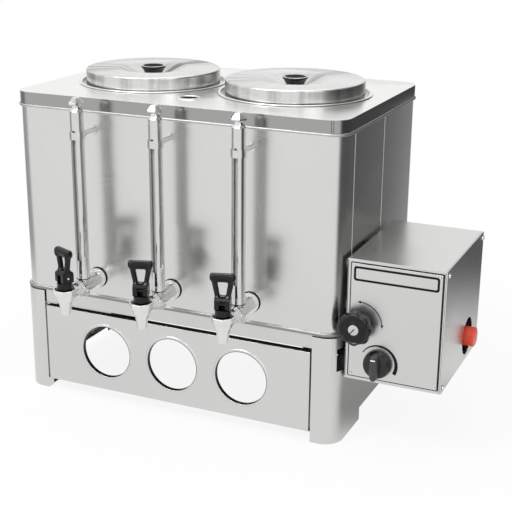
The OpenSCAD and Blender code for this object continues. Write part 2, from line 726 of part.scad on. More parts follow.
// An eight-sided cup that tapers to the spout, with a neck that seats in the wing nut
module tap_cup(i) color("gainsboro") at_cup(i, false) difference() {
  union() {
    translate([0, 0, cup_top - cup_rim_h]) octagon(cup_rim_h, cup_af, cup_af);
    translate([0, 0, tap_z - spout_drop]) octagon(cup_top - cup_rim_h - tap_z + spout_drop + seat, spout_af, cup_af - 2 * seat);
    translate([0, wing_y - wing_t / 3 - seat - cup_y, tap_z]) rod_y(water_r + wing_t / 4, wing_y - wing_t / 3 - seat - cup_y);
    translate([0, wing_y - wing_t - seat - cup_y, tap_z]) rod_y(cup_rise - cut, wing_y - wing_t - seat - cup_y);
  }
  translate([0, 0, seat_z]) cylinder(h = cup_top - seat_z + cut, r = chamber_r);
  translate([0, 0, tap_z - spout_drop - cut]) cylinder(h = spout_drop + cut, r = spout_bore_r);
  translate([0, wing_y - cup_y + cut, tap_z]) rod_y(water_r, wing_y - cup_y + cut);
}

module left_tap_cup() tap_cup(-1);
module middle_tap_cup() tap_cup(0);
module right_tap_cup() tap_cup(1);

// A bonnet caps each cup, guides the stem and holds the spring
module tap_bonnets() color("#1c1c1c") for (i = trio) at_cup(i, true) difference() {
  union() {
    translate([0, 0, cup_top - bonnet_skirt + seat]) cylinder(h = bonnet_skirt + cut, r = chamber_r - seat);
    translate([0, 0, cup_top + seat]) cylinder(h = bonnet_h, r = bonnet_r);
  }
  translate([0, 0, cup_top - bonnet_skirt - cut]) cylinder(h = spring_high + seat - cup_top + bonnet_skirt + cut, r = bonnet_bore_r);
  translate([0, 0, cup_top]) cylinder(h = bonnet_h + cut, r = stem_r + run);
}

// The stem carries the rubber valve at its foot and the handle's eye at its head
module tap_stem(i) color("dimgray") at_cup(i, true) difference() {
  union() {
    translate([0, 0, seat_z + seat]) cylinder(h = valve_h, r = valve_r);
    translate([0, 0, seat_z + seat + valve_h]) cylinder(h = valve_h, r = valve_neck_r);
    translate([0, 0, seat_z + seat + valve_h]) cylinder(h = pin_z - seat_z - seat - valve_h, r = stem_r);
    translate([-eye_w / 2, 0, pin_z]) rotate([0, 90, 0]) cylinder(h = eye_w, r = eye_r);
  }
  translate([-eye_w / 2 - cut, 0, pin_z]) rotate([0, 90, 0]) cylinder(h = eye_w + 2 * cut, r = pin_r + run);
}

module left_tap_stem() tap_stem(-1);
module middle_tap_stem() tap_stem(0);
module right_tap_stem() tap_stem(1);

module handle_pin(i) color("silver") at_cup(i, true)
  translate([-hub_w / 2 + seat, 0, pin_z]) rotate([0, 90, 0]) cylinder(h = hub_w - 2 * seat, r = pin_r);

module left_handle_pin() handle_pin(-1);
module middle_handle_pin() handle_pin(0);
module right_handle_pin() handle_pin(1);

// A coil spring of round wire, swept ring by ring along a helix
function coil_point(k) = let (a = 360 * k / spring_steps)
  [spring_r * cos(a), spring_r * sin(a),
    spring_low + spring_wire_r + (spring_high - spring_low - 2 * spring_wire_r) * k / (spring_turns * spring_steps)];
function coil_ring(k) = let (a = 360 * k / spring_steps, c = coil_point(k))
  [for (j = [0 : 5]) c + spring_wire_r * [cos(60 * j) * cos(a), cos(60 * j) * sin(a), sin(60 * j)]];

module tap_spring(i) color("silver") at_cup(i, true) {
  rings = spring_turns * spring_steps;
  points = [for (k = [0 : rings]) each coil_ring(k)];
  sides = [for (k = [0 : rings - 1], j = [0 : 5]) let (a = 6 * k + j, b = 6 * k + (j + 1) % 6) each [[a, a + 6, b], [b, a + 6, b + 6]]];
  polyhedron(points, concat(sides, [[for (j = [0 : 5]) j], [for (j = [5 : -1 : 0]) 6 * rings + j]]));
}

module left_tap_spring() tap_spring(-1);
module middle_tap_spring() tap_spring(0);
module right_tap_spring() tap_spring(1);

// The handle's outline from the front: arms that spread upward from the hub to the bar
loop_h = cup_top + handle_h - hub_z;
brow_h = 0.45 * hub_h;
cam_r = hub_d / 8;
window_low = hub_h + hub_h / 6;
window_high = loop_h - bar_h;
window_low_w = 0.4 * hub_w;
window_high_w = 0.52 * bar_w;
module handle_outline() polygon([
  [-hub_w / 2, hub_h / 2], [hub_w / 2, hub_h / 2], [hub_w / 2 + cam_r / 2, hub_h + brow_h],
  [bar_w / 2 - bar_h / 5, loop_h - bar_h / 2], [-bar_w / 2 + bar_h / 5, loop_h - bar_h / 2],
  [-hub_w / 2 - cam_r / 2, hub_h + brow_h]]);

// The window between the arms, round at the bottom
module handle_window() polygon([
  each arc([-window_low_w / 2 + bar_h / 3, window_low + bar_h / 3], bar_h / 3, 200, 270, 5),
  each arc([window_low_w / 2 - bar_h / 3, window_low + bar_h / 3], bar_h / 3, 270, 340, 5),
  each arc([window_high_w / 2 - bar_h / 5, window_high - bar_h / 5], bar_h / 5, -20, 90, 5),
  each arc([-window_high_w / 2 + bar_h / 5, window_high - bar_h / 5], bar_h / 5, 90, 200, 5)]);

// The hub's outline from the side: a rounded cam corner at the front and a brow that narrows to the arms
module hub_outline() polygon([
  each arc([-hub_d / 2 + cam_r, cam_r], cam_r, 180, 270, 5), [hub_d / 2, 0], [hub_d / 2, hub_h],
  [arm_d / 2, hub_h + brow_h], [-arm_d / 2, hub_h + brow_h], [-hub_d / 2, hub_h]]);

// A loop handle: a hub that rocks on the bonnet, two arms and a fat round top bar
module tap_handle(i) color("#1c1c1c") at_cup(i, true) translate([0, 0, hub_z]) difference() {
  union() {
    translate([0, arm_d / 2, 0]) rotate([90, 0, 0]) linear_extrude(arm_d) handle_outline();
    translate([-hub_w / 2, 0, 0]) rotate([90, 0, 90]) linear_extrude(hub_w) hub_outline();
    hull() for (s = [-1, 1], t = [-1, 1])
      translate([s * (bar_w / 2 - bar_h / 2), t * arm_d / 4, loop_h - bar_h / 2]) sphere(bar_h / 2, $fn = 24);
  }
  translate([0, hub_d, 0]) rotate([90, 0, 0]) linear_extrude(2 * hub_d) handle_window();
  translate([-eye_w / 2 - 2 * seat, -hub_d, -cut])
    cube([eye_w + 4 * seat, hub_d + eye_r + seat, pin_z - hub_z + eye_r + seat + cut]);
  translate([-hub_w / 2 - cut, 0, pin_z - hub_z]) rotate([0, 90, 0]) cylinder(h = hub_w + 2 * cut, r = pin_r + run);
}

module left_tap_handle() tap_handle(-1);
module middle_tap_handle() tap_handle(0);
module right_tap_handle() tap_handle(1);

// Gauges

// A shield tube with a window slot that is pointed at both ends, and a narrow seam below it
module gauge_shield(i) color("silver") at_tap(i) translate([0, gauge_y, 0]) difference() {
  translate([0, 0, shield_low]) cylinder(h = shield_top - shield_low, r = shield_r);
  translate([0, 0, shield_low - cut]) cylinder(h = shield_top - shield_low + 2 * cut, r = shield_r - shield_t);
  translate([0, cut - shield_r / 2, 0]) rotate([90, 0, 0]) linear_extrude(shield_r)
    polygon([[-slot_w / 2, slot_low + slot_w / 2], [0, slot_low], [slot_w / 2, slot_low + slot_w / 2],
      [slot_w / 2, slot_high - slot_w / 2], [0, slot_high], [-slot_w / 2, slot_high - slot_w / 2]]);
  translate([-seam_w / 2, -shield_r - cut, shield_low - cut]) cube([seam_w, shield_r / 2, slot_low - shield_low + slot_w / 2]);
}

module left_gauge_shield() gauge_shield(-1);
module middle_gauge_shield() gauge_shield(0);
module right_gauge_shield() gauge_shield(1);

module gauge_glasses() color("lightcyan") for (i = trio) at_tap(i) translate([0, gauge_y, glass_low]) difference() {
  cylinder(h = glass_high - glass_low, r = glass_r);
  translate([0, 0, -cut]) cylinder(h = glass_high - glass_low + 2 * cut, r = glass_r - glass_t);
}

// A six-sided cap with a sloped top, drawn in to a neck above the shield
module gauge_caps() color("silver") for (i = trio) at_tap(i) translate([0, gauge_y, shield_top + seat]) difference() {
  union() {
    cylinder(h = gauge_cap_h * 0.2, r1 = shield_r, r2 = shield_r * 0.75);
    cylinder(h = gauge_cap_h * 0.5, r = shield_r * 0.75);
    translate([0, 0, gauge_cap_h * 0.4]) cylinder(h = gauge_cap_h * 0.15, r1 = shield_r * 0.8, r2 = cap_af / sqrt(3), $fn = 6);
    translate([0, 0, gauge_cap_h * 0.55]) cylinder(h = gauge_cap_h * 0.1, r = cap_af / sqrt(3), $fn = 6);
    translate([0, 0, gauge_cap_h * 0.65]) cylinder(h = gauge_cap_h * 0.35, r1 = cap_af / sqrt(3), r2 = cap_af / 4, $fn = 6);
  }
  translate([0, 0, -cut]) cylinder(h = glass_high - shield_top + seat + cut, r = glass_r + seat / 2);
}

// A collar round each shield, with a nutted stand-off that reaches back to the tank
module gauge_collars() color("silver") for (i = trio) at_tap(i) translate([0, gauge_y, collar_top - collar_h]) difference() {
  union() {
    cylinder(h = collar_h, r = collar_r);
    translate([0, gauge_out - seat, collar_h / 2]) rod_y(collar_h / 3, gauge_out - seat);
    translate([0, gauge_out - seat, collar_h / 2]) rod_y(collar_h * 0.7, sheet);
    translate([0, collar_r + collar_h * 0.6, collar_h / 2]) hex_y(collar_h * 0.9, collar_h * 0.7);
  }
  translate([0, 0, -cut]) cylinder(h = collar_h + 2 * cut, r = shield_r + seat / 2);
}

// Control box

// A folded box, open on its right, whose four round feet stand against the tank wall
module box_housing() color("silver") urn() difference() {
  union() {
    difference() {
      translate([box_x, box_y, box_z]) cube([box_w - sheet - seat, box_d, box_h]);
      translate([box_x + sheet, box_y + sheet, box_z + sheet]) cube([box_w, box_d - 2 * sheet, box_h - 2 * sheet]);
    }
    for (dz = [box_flange / 2, box_h - box_flange / 2], dy = [screw_in, box_d - screw_in])
      translate([cover_x - seat - sheet - box_flange / 2, box_y + dy - box_flange / 2, box_z + dz - box_flange / 2])
        cube([sheet + box_flange / 2, box_flange, box_flange]);
    for (y = foot_back_shares, z = foot_up_shares)
      translate([tank_w / 2 + seat, box_y + y * box_d, box_z + z * box_h]) rotate([0, 90, 0]) cylinder(h = box_x - tank_w / 2 - seat + sheet / 2, r = box_flange * 0.75);
  }
  for (p = [[cock_axis_x, cock_axis_z], [thermo_axis_x, thermo_axis_z]])
    translate([p[0], box_y + sheet + cut, p[1]]) rod_y(stem_hole_r, sheet + 2 * cut);
  translate([box_x - cut, pipe_y, gas_z]) rotate([0, 90, 0]) cylinder(h = sheet + 2 * cut, r = gas_r + clear);
  for (dz = [screw_in, box_h - screw_in], dy = [screw_in, box_d - screw_in])
    translate([cover_x - box_flange, box_y + dy, box_z + dz]) rotate([0, 90, 0]) cylinder(h = box_flange + cut, r = screw_r + run);
}

// The right-hand cover, with a big round hole for the gas inlet
module box_cover() color("silver") urn() difference() {
  translate([cover_x, box_y, box_z]) cube([sheet, box_d, box_h]);
  translate([cover_x - cut, inlet_axis_y, inlet_axis_z]) rotate([0, 90, 0]) cylinder(h = sheet + 2 * cut, r = inlet_hole_r);
  for (dz = [screw_in, box_h - screw_in], dy = [screw_in, box_d - screw_in])
    translate([cover_x - cut, box_y + dy, box_z + dz]) rotate([0, 90, 0]) cylinder(h = sheet + 2 * cut, r = screw_r + seat);
}

// Four cover screws, and four rivets at the corners of the label plate
module box_fasteners() color("silver") urn() {
  for (dz = [screw_in, box_h - screw_in], dy = [screw_in, box_d - screw_in])
    translate([box_right + seat, box_y + dy, box_z + dz]) rotate([0, 90, 0]) {
      cylinder(h = screw_head_t, r1 = screw_head_r, r2 = screw_head_r * 0.7);
      translate([0, 0, -seat - sheet - box_flange / 2]) cylinder(h = seat + sheet + box_flange / 2 + cut, r = screw_r);
    }
  for (dx = [plate_margin + 2 * rivet_r, box_w - plate_margin - 2 * rivet_r], dz = [plate_margin + 2 * rivet_r, box_h - plate_margin - 2 * rivet_r])
    translate([box_x + dx, plate_y - seat, box_z + dz]) rotate([90, 0, 0]) cylinder(h = rivet_r / 2, r1 = rivet_r, r2 = rivet_r * 0.6);
}

module label_plate() color("whitesmoke") urn() difference() {
  translate([box_x + plate_margin, plate_y, box_z + plate_margin]) cube([box_w - 2 * plate_margin, plate_t, box_h - 2 * plate_margin]);
  for (p = [[cock_axis_x, cock_axis_z], [thermo_axis_x, thermo_axis_z]])
    translate([p[0], plate_y + plate_t + cut, p[1]]) rod_y(stem_hole_r, plate_t + 2 * cut);
}

// A lobed knob for the gas cock, with a shallow face and a bore for the stem
module cock_knob() color("#2b2b2b") urn() translate([cock_axis_x, knob_face_y, cock_axis_z]) rotate([-90, 0, 0]) difference() {
  union() {
    translate([0, 0, knob_out * 0.12]) linear_extrude(knob_out * 0.5) {
      circle(cock_knob_r * 0.9);
      for (k = [0 : cock_lobes - 1]) rotate(360 * k / cock_lobes)
        translate([cock_knob_r * 0.78, 0]) circle(cock_knob_r * 0.22);
    }
    cylinder(h = knob_out * 0.2, r1 = cock_knob_r * 0.72, r2 = cock_knob_r * 0.86);
    translate([0, 0, knob_out * 0.6]) cylinder(h = knob_out * 0.3, r1 = cock_knob_r * 0.8, r2 = cock_knob_r * 0.45);
  }
  translate([0, 0, -cut]) cylinder(h = knob_out * 0.08 + cut, r = cock_knob_r * 0.55);
  translate([0, 0, -cut]) cylinder(h = knob_out + cut, r = cock_stem_r + run);
}

// The cock's stem shows as a bright slotted disc in the middle of the knob
disc_t = 1.2;
module cock_stem() color("whitesmoke") urn() translate([cock_axis_x, knob_face_y, cock_axis_z]) rotate([-90, 0, 0]) difference() {
  union() {
    translate([0, 0, knob_out * 0.08 - disc_t - seat]) cylinder(h = disc_t, r = 1.7 * cock_stem_r);
    translate([0, 0, knob_out * 0.08 - disc_t]) cylinder(h = knob_out + 4 * sheet, r = cock_stem_r);
  }
  rotate([0, 0, 45]) translate([0, -disc_t / 2, knob_out * 0.08 - disc_t - seat - cut]) cube([3 * cock_stem_r, disc_t, cut + disc_t / 2]);
}

// Behind the panel the cock's body takes the stem and drops to the thermostat
cock_body_r = 13;
cock_body_l = 46;
cock_body_y = box_y + sheet + seat;
module gas_cock() color("goldenrod") urn() difference() {
  union() {
    translate([cock_axis_x, cock_body_y + cock_body_l, cock_axis_z]) rod_y(cock_body_r, cock_body_l);
    translate([cock_axis_x, cock_body_y + cock_body_l * 0.7, thermo_axis_z + thermo_body_h / 2 + seat])
      cylinder(h = cock_axis_z - thermo_axis_z - thermo_body_h / 2 - seat, r = cock_body_r * 0.6);
  }
  translate([cock_axis_x, cock_body_y + cock_body_l / 2, cock_axis_z]) rod_y(cock_stem_r + run, cock_body_l);
}

// The thermostat's knob: a round skirt with a raised grip across it
module thermostat_knob() color("#2b2b2b") urn() translate([thermo_axis_x, plate_y - seat, thermo_axis_z]) rotate([90, 0, 0]) union() {
  translate([0, 0, seat]) cylinder(h = knob_out * 0.18, r = thermo_knob_r);
  translate([0, 0, seat + knob_out * 0.18]) cylinder(h = knob_out * 0.3, r1 = thermo_knob_r, r2 = thermo_knob_r * 0.88);
  translate([0, 0, seat + knob_out * 0.4]) hull() {
    translate([0, thermo_knob_r * 0.62, 0]) cylinder(h = knob_out * 0.45, r = thermo_knob_r * 0.3, $fn = 32);
    translate([0, -thermo_knob_r * 0.62, 0]) cylinder(h = knob_out * 0.55, r = thermo_knob_r * 0.36, $fn = 32);
  }
  translate([0, 0, -plate_t - sheet - 2 * seat - knob_out / 2]) cylinder(h = plate_t + sheet + 3 * seat + knob_out / 2, r = thermo_stem_r);
}

module thermostat() color("lightslategray") urn() difference() {
  union() {
    translate([thermo_axis_x - thermo_body_w / 2, box_y + sheet + seat, thermo_axis_z - thermo_body_h / 2])
      cube([thermo_body_w, inlet_y + inlet_r, thermo_body_h]);
    translate([thermo_axis_x, box_y + inlet_y / 2, thermo_axis_z + thermo_body_h / 2 - cut]) cylinder(h = 2 * gas_r, r = gas_r);
  }
  translate([thermo_axis_x, box_y + sheet + knob_out, thermo_axis_z]) rod_y(thermo_stem_r + run, knob_out + cut);
  translate([thermo_axis_x, inlet_axis_y, inlet_axis_z]) rotate([0, 90, 0]) cylinder(h = thermo_body_w, r = inlet_r - 2 * sheet + seat);
}

// The gas inlet runs from the thermostat out through the cover's hole, with a hexagon to hold it by
module gas_inlet() color("goldenrod") urn() translate([0, inlet_axis_y, inlet_axis_z]) rotate([0, 90, 0]) difference() {
  union() {
    translate([0, 0, thermo_axis_x + thermo_body_w / 4]) cylinder(h = box_right - thermo_axis_x - thermo_body_w / 4, r = inlet_r - 2 * sheet);
    translate([0, 0, box_right - 2 * inlet_r]) cylinder(h = inlet_r * 0.8, r = inlet_r * 1.25, $fn = 6);
    translate([0, 0, box_right - inlet_r]) cylinder(h = inlet_r + cap_out - 2 * sheet - seat, r = inlet_r);
  }
  translate([0, 0, thermo_axis_x]) cylinder(h = box_w + cap_out, r = inlet_r - 4 * sheet);
}

// A plastic cap pushed over the inlet's thread for shipping
module inlet_cap() color("orangered") urn() translate([box_right - inlet_r * 0.7, inlet_axis_y, inlet_axis_z]) rotate([0, 90, 0]) difference() {
  union() {
    cylinder(h = inlet_r * 0.7 + cap_out - sheet, r = cap_r);
    translate([0, 0, inlet_r * 0.7 + cap_out - sheet]) cylinder(h = sheet, r1 = cap_r, r2 = cap_r - sheet);
  }
  translate([0, 0, -cut]) cylinder(h = inlet_r * 0.7 + cap_out - 2 * sheet + cut, r = inlet_r + seat);
}

tank_shell();
tank_floor();
top_deck();
base_rail();
left_crock();
right_crock();
left_lid();
right_lid();
left_lid_knob();
right_lid_knob();
left_knob_screw();
right_knob_screw();
front_left_leg();
front_right_leg();
rear_legs();
left_panel();
right_panel();
rear_panel();
front_panel();
burner();
burner_straps();
gas_pipe();
tap_gaskets();
flange_nuts();
lock_nuts();
gauge_tees();
wing_nuts();
tap_bonnets();
left_tap_cup();
middle_tap_cup();
right_tap_cup();
left_tap_handle();
middle_tap_handle();
right_tap_handle();
left_tap_stem();
middle_tap_stem();
right_tap_stem();
left_handle_pin();
middle_handle_pin();
right_handle_pin();
left_tap_spring();
middle_tap_spring();
right_tap_spring();
left_gauge_shield();
middle_gauge_shield();
right_gauge_shield();
gauge_glasses();
gauge_caps();
gauge_collars();
box_housing();
box_cover();
box_fasteners();
label_plate();
cock_knob();
cock_stem();
gas_cock();
thermostat_knob();
thermostat();
gas_inlet();
inlet_cap();
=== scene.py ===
"""Looks for a twin-crock coffee urn: sheet steel, chrome fittings, black handles and a printed control plate."""

import json
import math

import bmesh
import bpy
from mathutils import Euler, Matrix, Vector

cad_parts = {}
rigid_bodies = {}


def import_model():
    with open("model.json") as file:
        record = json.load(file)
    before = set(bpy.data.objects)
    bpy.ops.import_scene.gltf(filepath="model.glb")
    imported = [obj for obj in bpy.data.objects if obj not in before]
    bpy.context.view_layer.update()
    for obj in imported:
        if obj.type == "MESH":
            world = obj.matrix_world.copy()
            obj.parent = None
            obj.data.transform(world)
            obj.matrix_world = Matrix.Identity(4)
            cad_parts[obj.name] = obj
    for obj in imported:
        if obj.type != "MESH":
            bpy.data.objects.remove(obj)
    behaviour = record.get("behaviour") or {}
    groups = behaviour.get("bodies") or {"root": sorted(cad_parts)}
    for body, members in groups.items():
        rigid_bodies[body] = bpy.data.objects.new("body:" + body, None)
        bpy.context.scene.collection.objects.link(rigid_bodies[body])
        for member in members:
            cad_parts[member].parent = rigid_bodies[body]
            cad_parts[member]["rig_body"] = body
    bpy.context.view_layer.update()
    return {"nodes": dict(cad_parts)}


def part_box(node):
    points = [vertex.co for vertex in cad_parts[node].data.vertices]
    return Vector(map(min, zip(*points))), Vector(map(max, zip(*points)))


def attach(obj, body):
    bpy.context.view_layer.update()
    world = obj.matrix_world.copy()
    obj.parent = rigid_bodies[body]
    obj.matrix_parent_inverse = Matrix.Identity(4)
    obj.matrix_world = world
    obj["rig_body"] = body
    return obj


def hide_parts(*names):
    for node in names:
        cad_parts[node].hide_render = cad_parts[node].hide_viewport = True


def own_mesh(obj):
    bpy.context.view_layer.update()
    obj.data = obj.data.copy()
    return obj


bl_info = {
    "name": "Coffee Urn",
    "version": (1, 0, 0),
    "blender": (4, 5, 0),
    "location": "View3D > Sidebar > Urn",
    "description": "Dresses a twin-crock coffee urn and sets its studio",
    "category": "Object",
}

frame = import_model()
NODES = frame["nodes"]
SIDES = ("left", "middle", "right")
HANDLE_TURNS = {"left": -24, "middle": 18, "right": 16}

# Angles in degrees, lengths in metres
SHARP = 38  # edges over this angle stay sharp in the shading
HEM_SINK = 0.0012  # from the box of the deck or the rail in to its sheet
HEM_LIFT = 0.0001  # from that sheet out to the hem's path
HEM_PROUD = 0.0016  # how far a hem bulges out from its path
HEM_ROOT = -0.0002  # how far a hem reaches back into the sheet
HEM_CORNER = 0.0274  # radius of the hem's path at the corners
LEG_CORNER = 0.0288  # radius of the front legs' outer corners
PRINT = 0.0001  # thickness of a printed or drawn line
PRINT_SINK = 0.00005  # how far such a line stands off a sheet

# Places and directions in the studio
WHITE = (1, 1, 1, 1)
LEVEL = (1.0, 1.0, 0.0)
STUDIO_RIGHT = (0.866, 0.5, 0.0)
STUDIO_LEFT = (-0.996, 0.087, 0.0)
CORNER_FOOT = (0.19, -0.12, 0.0)
BOX_FOOT = (0.28, 0.06, 0.0)
TAPS_FOOT = (-0.08, -0.164, 0.0)


# Settings


class UrnSheetSettings(bpy.types.PropertyGroup):
    """Steel sheet of the tank, the base and the control box."""

    steel_tone: bpy.props.FloatVectorProperty(
        name="Steel tone", description="Colour of the sheet steel", subtype="COLOR",
        default=(0.71, 0.71, 0.70), min=0, max=1,
    )
    fold_radius: bpy.props.FloatProperty(
        name="Fold radius", description="Radius of the sheet's folded edges", unit="LENGTH",
        default=0.0009, min=0.0002, max=0.003,
    )


class UrnFittingSettings(bpy.types.PropertyGroup):
    """Chrome fittings, handles and knobs."""

    chrome_tone: bpy.props.FloatVectorProperty(
        name="Chrome tone", description="Colour of the plated fittings", subtype="COLOR",
        default=(0.80, 0.80, 0.79), min=0, max=1,
    )
    handle_tone: bpy.props.FloatVectorProperty(
        name="Handle tone", description="Colour of the black handles and knobs", subtype="COLOR",
        default=(0.012, 0.012, 0.013), min=0, max=1,
    )
    cap_tone: bpy.props.FloatVectorProperty(
        name="Inlet cap tone", description="Colour of the gas inlet's cap", subtype="COLOR",
        default=(0.97, 0.085, 0.045), min=0, max=1,
    )
    edge_radius: bpy.props.FloatProperty(
        name="Edge radius", description="Radius of the fittings' edges", unit="LENGTH",
        default=0.0006, min=0.0001, max=0.002,
    )


class UrnStageSettings(bpy.types.PropertyGroup):
    """Floor, light and camera."""

    floor_width: bpy.props.FloatProperty(
        name="Floor width", description="Width of the floor", unit="LENGTH", default=24.0, min=4, max=40
    )
    lens: bpy.props.FloatProperty(
        name="Lens", description="Focal length of the camera in millimetres", default=78.98, min=20, max=200
    )


# Materials


class Shader:
    """A short way to lay out the nodes of one material or world."""

    def __init__(self, name, world=False):
        self.owner = (bpy.data.worlds if world else bpy.data.materials).new(name)
        self.owner.use_nodes = True
        self.tree = self.owner.node_tree
        self.tree.nodes.clear()
        self.out = self.tree.nodes.new("ShaderNodeOutputWorld" if world else "ShaderNodeOutputMaterial")

    def node(self, kind, _links=None, **values):
        """A new node. The links hold a source or a plain value for each socket, and the values are its settings."""
        n = self.tree.nodes.new("ShaderNode" + kind)
        for key, value in values.items():
            setattr(n, key, value)
        for socket, source in (_links or {}).items():
            if isinstance(source, bpy.types.NodeSocket):
                self.tree.links.new(source, n.inputs[socket])
            else:
                n.inputs[socket].default_value = source
        return n

    def sums(self, operation, a, b):
        return self.node("Math", {0: a, 1: b}, operation=operation).outputs[0]

    def vector(self, operation, a, b=None):
        """Result of a vector operation, which is one number for a length, a distance or a dot product."""
        n = self.node("VectorMath", {0: a} if b is None else {0: a, 1: b}, operation=operation)
        return n.outputs["Value" if operation in ("LENGTH", "DISTANCE", "DOT_PRODUCT") else "Vector"]

    def noise(self, at, scale, detail, roughness=0.5):
        links = {"Vector": at, "Scale": scale, "Detail": detail, "Roughness": roughness}
        return self.node("TexNoise", links).outputs["Fac"]

    def grain(self, stretch, detail):
        """Noise drawn out along the axes where the stretch is small."""
        at = self.node("TexCoord").outputs["Object"]
        mapped = self.node("Mapping", {"Vector": at, "Scale": stretch}).outputs["Vector"]
        return self.noise(mapped, 1.0, detail, 0.6)

    def span(self, value, low, high, start=0.3, end=0.7, eased=False):
        """Low up to the start, high from the end on, and a straight or an eased way between."""
        links = {"Value": value, "From Min": start, "From Max": end, "To Min": low, "To Max": high}
        return self.node("MapRange", links, interpolation_type="SMOOTHSTEP" if eased else "LINEAR").outputs["Result"]

    def tint(self, value, low, high):
        """A colour between two colours."""
        ramp = self.node("ValToRGB", {"Fac": value})
        for stop, colour, place in zip(ramp.color_ramp.elements, (low, high), (0.3, 0.7)):
            stop.color = (*colour, 1)
            stop.position = place
        return ramp.outputs["Color"]

    def bump(self, height, strength, distance):
        return self.node("Bump", {"Height": height, "Strength": strength, "Distance": distance}).outputs["Normal"]

    def surface(self, **sockets):
        shader = self.node("BsdfPrincipled", {key.replace("_", " "): value for key, value in sockets.items()})
        self.tree.links.new(shader.outputs["BSDF"], self.out.inputs["Surface"])
        return self.owner

    def by_ray(self, kind, plain, tone, share=1.0):
        """A plain shader for light, white to the eye for a share of it, and a tone of white in reflections."""
        light = self.node("LightPath").outputs
        white, mirrored = (self.node(kind, {"Color": WHITE, "Strength": k}).outputs[kind] for k in (1.0, tone))
        seen = self.sums("MAXIMUM", light["Is Camera Ray"], light["Is Transmission Ray"])
        seen = self.sums("MULTIPLY", seen, share)
        to_eye = self.node("MixShader", {0: seen, 1: plain, 2: white}).outputs["Shader"]
        mixed = self.node("MixShader", {0: light["Is Glossy Ray"], 1: to_eye, 2: mirrored}).outputs["Shader"]
        self.tree.links.new(mixed, self.out.inputs["Surface"])
        return self.owner


def scaled(colour, k):
    """A colour times a factor, kept at 1 or less."""
    return tuple(min(1.0, c * k) for c in colour)


def brushed_steel(name, tone, along, rough, depth):
    """Sheet steel whose grain runs along one axis, with faint clouds in its polish."""
    s = Shader(name)
    stretch = [900.0, 900.0, 900.0]
    stretch["XYZ".index(along)] = 9.0
    fine = s.grain(stretch, 4.0)
    clouds = s.grain((7.0, 7.0, 7.0), 3.0)
    return s.surface(
        Base_Color=s.tint(clouds, scaled(tone, 0.985), scaled(tone, 1.015)), Metallic=1.0,
        Roughness=s.sums("ADD", s.span(fine, -0.02, 0.02), s.span(clouds, *rough)), Normal=s.bump(fine, depth, 0.0004),
    )


def spun_steel(name, tone, depth):
    """Steel spun on a lathe: rings round the piece's own upright axis, and painted reflections on them: light and dark
    wedges across the top and stripes round the side.
    """
    s = Shader(name)
    centred = s.vector("SUBTRACT", s.node("TexCoord").outputs["Generated"], (0.5, 0.5, 0.5))
    flat = s.vector("MULTIPLY", centred, LEVEL)
    spoke = s.vector("NORMALIZE", flat)
    ring_links = {"W": s.vector("LENGTH", flat), "Scale": 260.0, "Detail": 3.0}
    rings = s.node("TexNoise", ring_links, noise_dimensions="1D").outputs["Fac"]
    narrow, fine = s.noise(spoke, 5.5, 2.0), s.noise(spoke, 11.0, 2.0)
    # Painted reflections: dark wedges in two fixed directions across the top, and stripes of tone round the side.
    painted_wedges = []
    for way in ((-0.902, -0.436, 0.0), (0.435, 0.900, 0.0)):
        ahead = s.sums("MAXIMUM", s.vector("DOT_PRODUCT", spoke, way), 0.0)
        painted_wedges.append(s.sums("POWER", ahead, 14.0))
    painted_streaks = s.sums("MULTIPLY", s.sums("ADD", *painted_wedges), s.span(fine, 0.0, depth, 0.38, 0.58))
    painted_top = s.sums("SUBTRACT", s.span(narrow, 0.96, 1.04), painted_streaks)
    painted_stripes = s.span(narrow, 0.66, 0.94, 0.36, 0.56)
    # The top gets the painted wedges and the side the painted stripes, by how far each face looks up.
    up = s.node("SeparateXYZ", {"Vector": s.node("NewGeometry").outputs["Normal"]}).outputs["Z"]
    top = s.span(up, 0.0, 1.0, 0.4, 0.8)
    shade = s.node("Mix", {"Factor": top, "A": painted_stripes, "B": painted_top}, data_type="FLOAT").outputs["Result"]
    return s.surface(
        Base_Color=s.node("VectorMath", {0: tone, "Scale": shade}, operation="SCALE").outputs["Vector"], Metallic=1.0,
        Roughness=s.span(rings, 0.2, 0.28), Normal=s.bump(rings, 0.04, 0.0004), Anisotropic=0.7,
        Tangent=s.node("Tangent", direction_type="RADIAL", axis="Z").outputs["Tangent"],
    )


def plated(name, tone, rough=(0.06, 0.16)):
    """Bright plating with a little dulling in patches."""
    s = Shader(name)
    clouds = s.grain((60.0, 60.0, 60.0), 4.0)
    fine = s.grain((700.0, 700.0, 700.0), 2.0)
    return s.surface(
        Base_Color=s.tint(clouds, scaled(tone, 0.95), scaled(tone, 1.02)), Metallic=1.0,
        Roughness=s.span(clouds, *rough), Normal=s.bump(fine, 0.006, 0.0002),
    )


def moulded(name, tone, rough, grit, shine=0.5):
    """Moulded plastic with a faint skin texture."""
    s = Shader(name)
    skin = s.grain((1400.0, 1400.0, 1400.0), 2.0)
    clouds = s.grain((45.0, 45.0, 45.0), 4.0)
    return s.surface(
        Base_Color=s.tint(clouds, scaled(tone, 0.85), scaled(tone, 1.2)), Roughness=s.span(clouds, *rough),
        Normal=s.bump(skin, grit, 0.0003), Specular_IOR_Level=shine, IOR=1.5,
    )


def gauge_glass(name, clear, darker_grey):
    """Gauge tube of glass, grey all through as a painted reflection, in patches of two greys."""
    s = Shader(name)
    grey_patches = s.grain((90.0, 90.0, 12.0), 3.0)
    return s.surface(
        Base_Color=s.tint(grey_patches, darker_grey, clear), Roughness=s.span(grey_patches, 0.06, 0.14), Transmission_Weight=0.12, IOR=1.47
    )


def cast_metal(name, tone, rough=(0.55, 0.8), metallic=1.0):
    """Pitted metal, as cast or sooted."""
    s = Shader(name)
    pits = s.grain((420.0, 420.0, 420.0), 8.0)
    return s.surface(
        Base_Color=s.tint(pits, scaled(tone, 0.7), scaled(tone, 1.15)), Metallic=metallic,
        Roughness=s.span(pits, *rough), Normal=s.bump(pits, 0.25, 0.0006),
    )


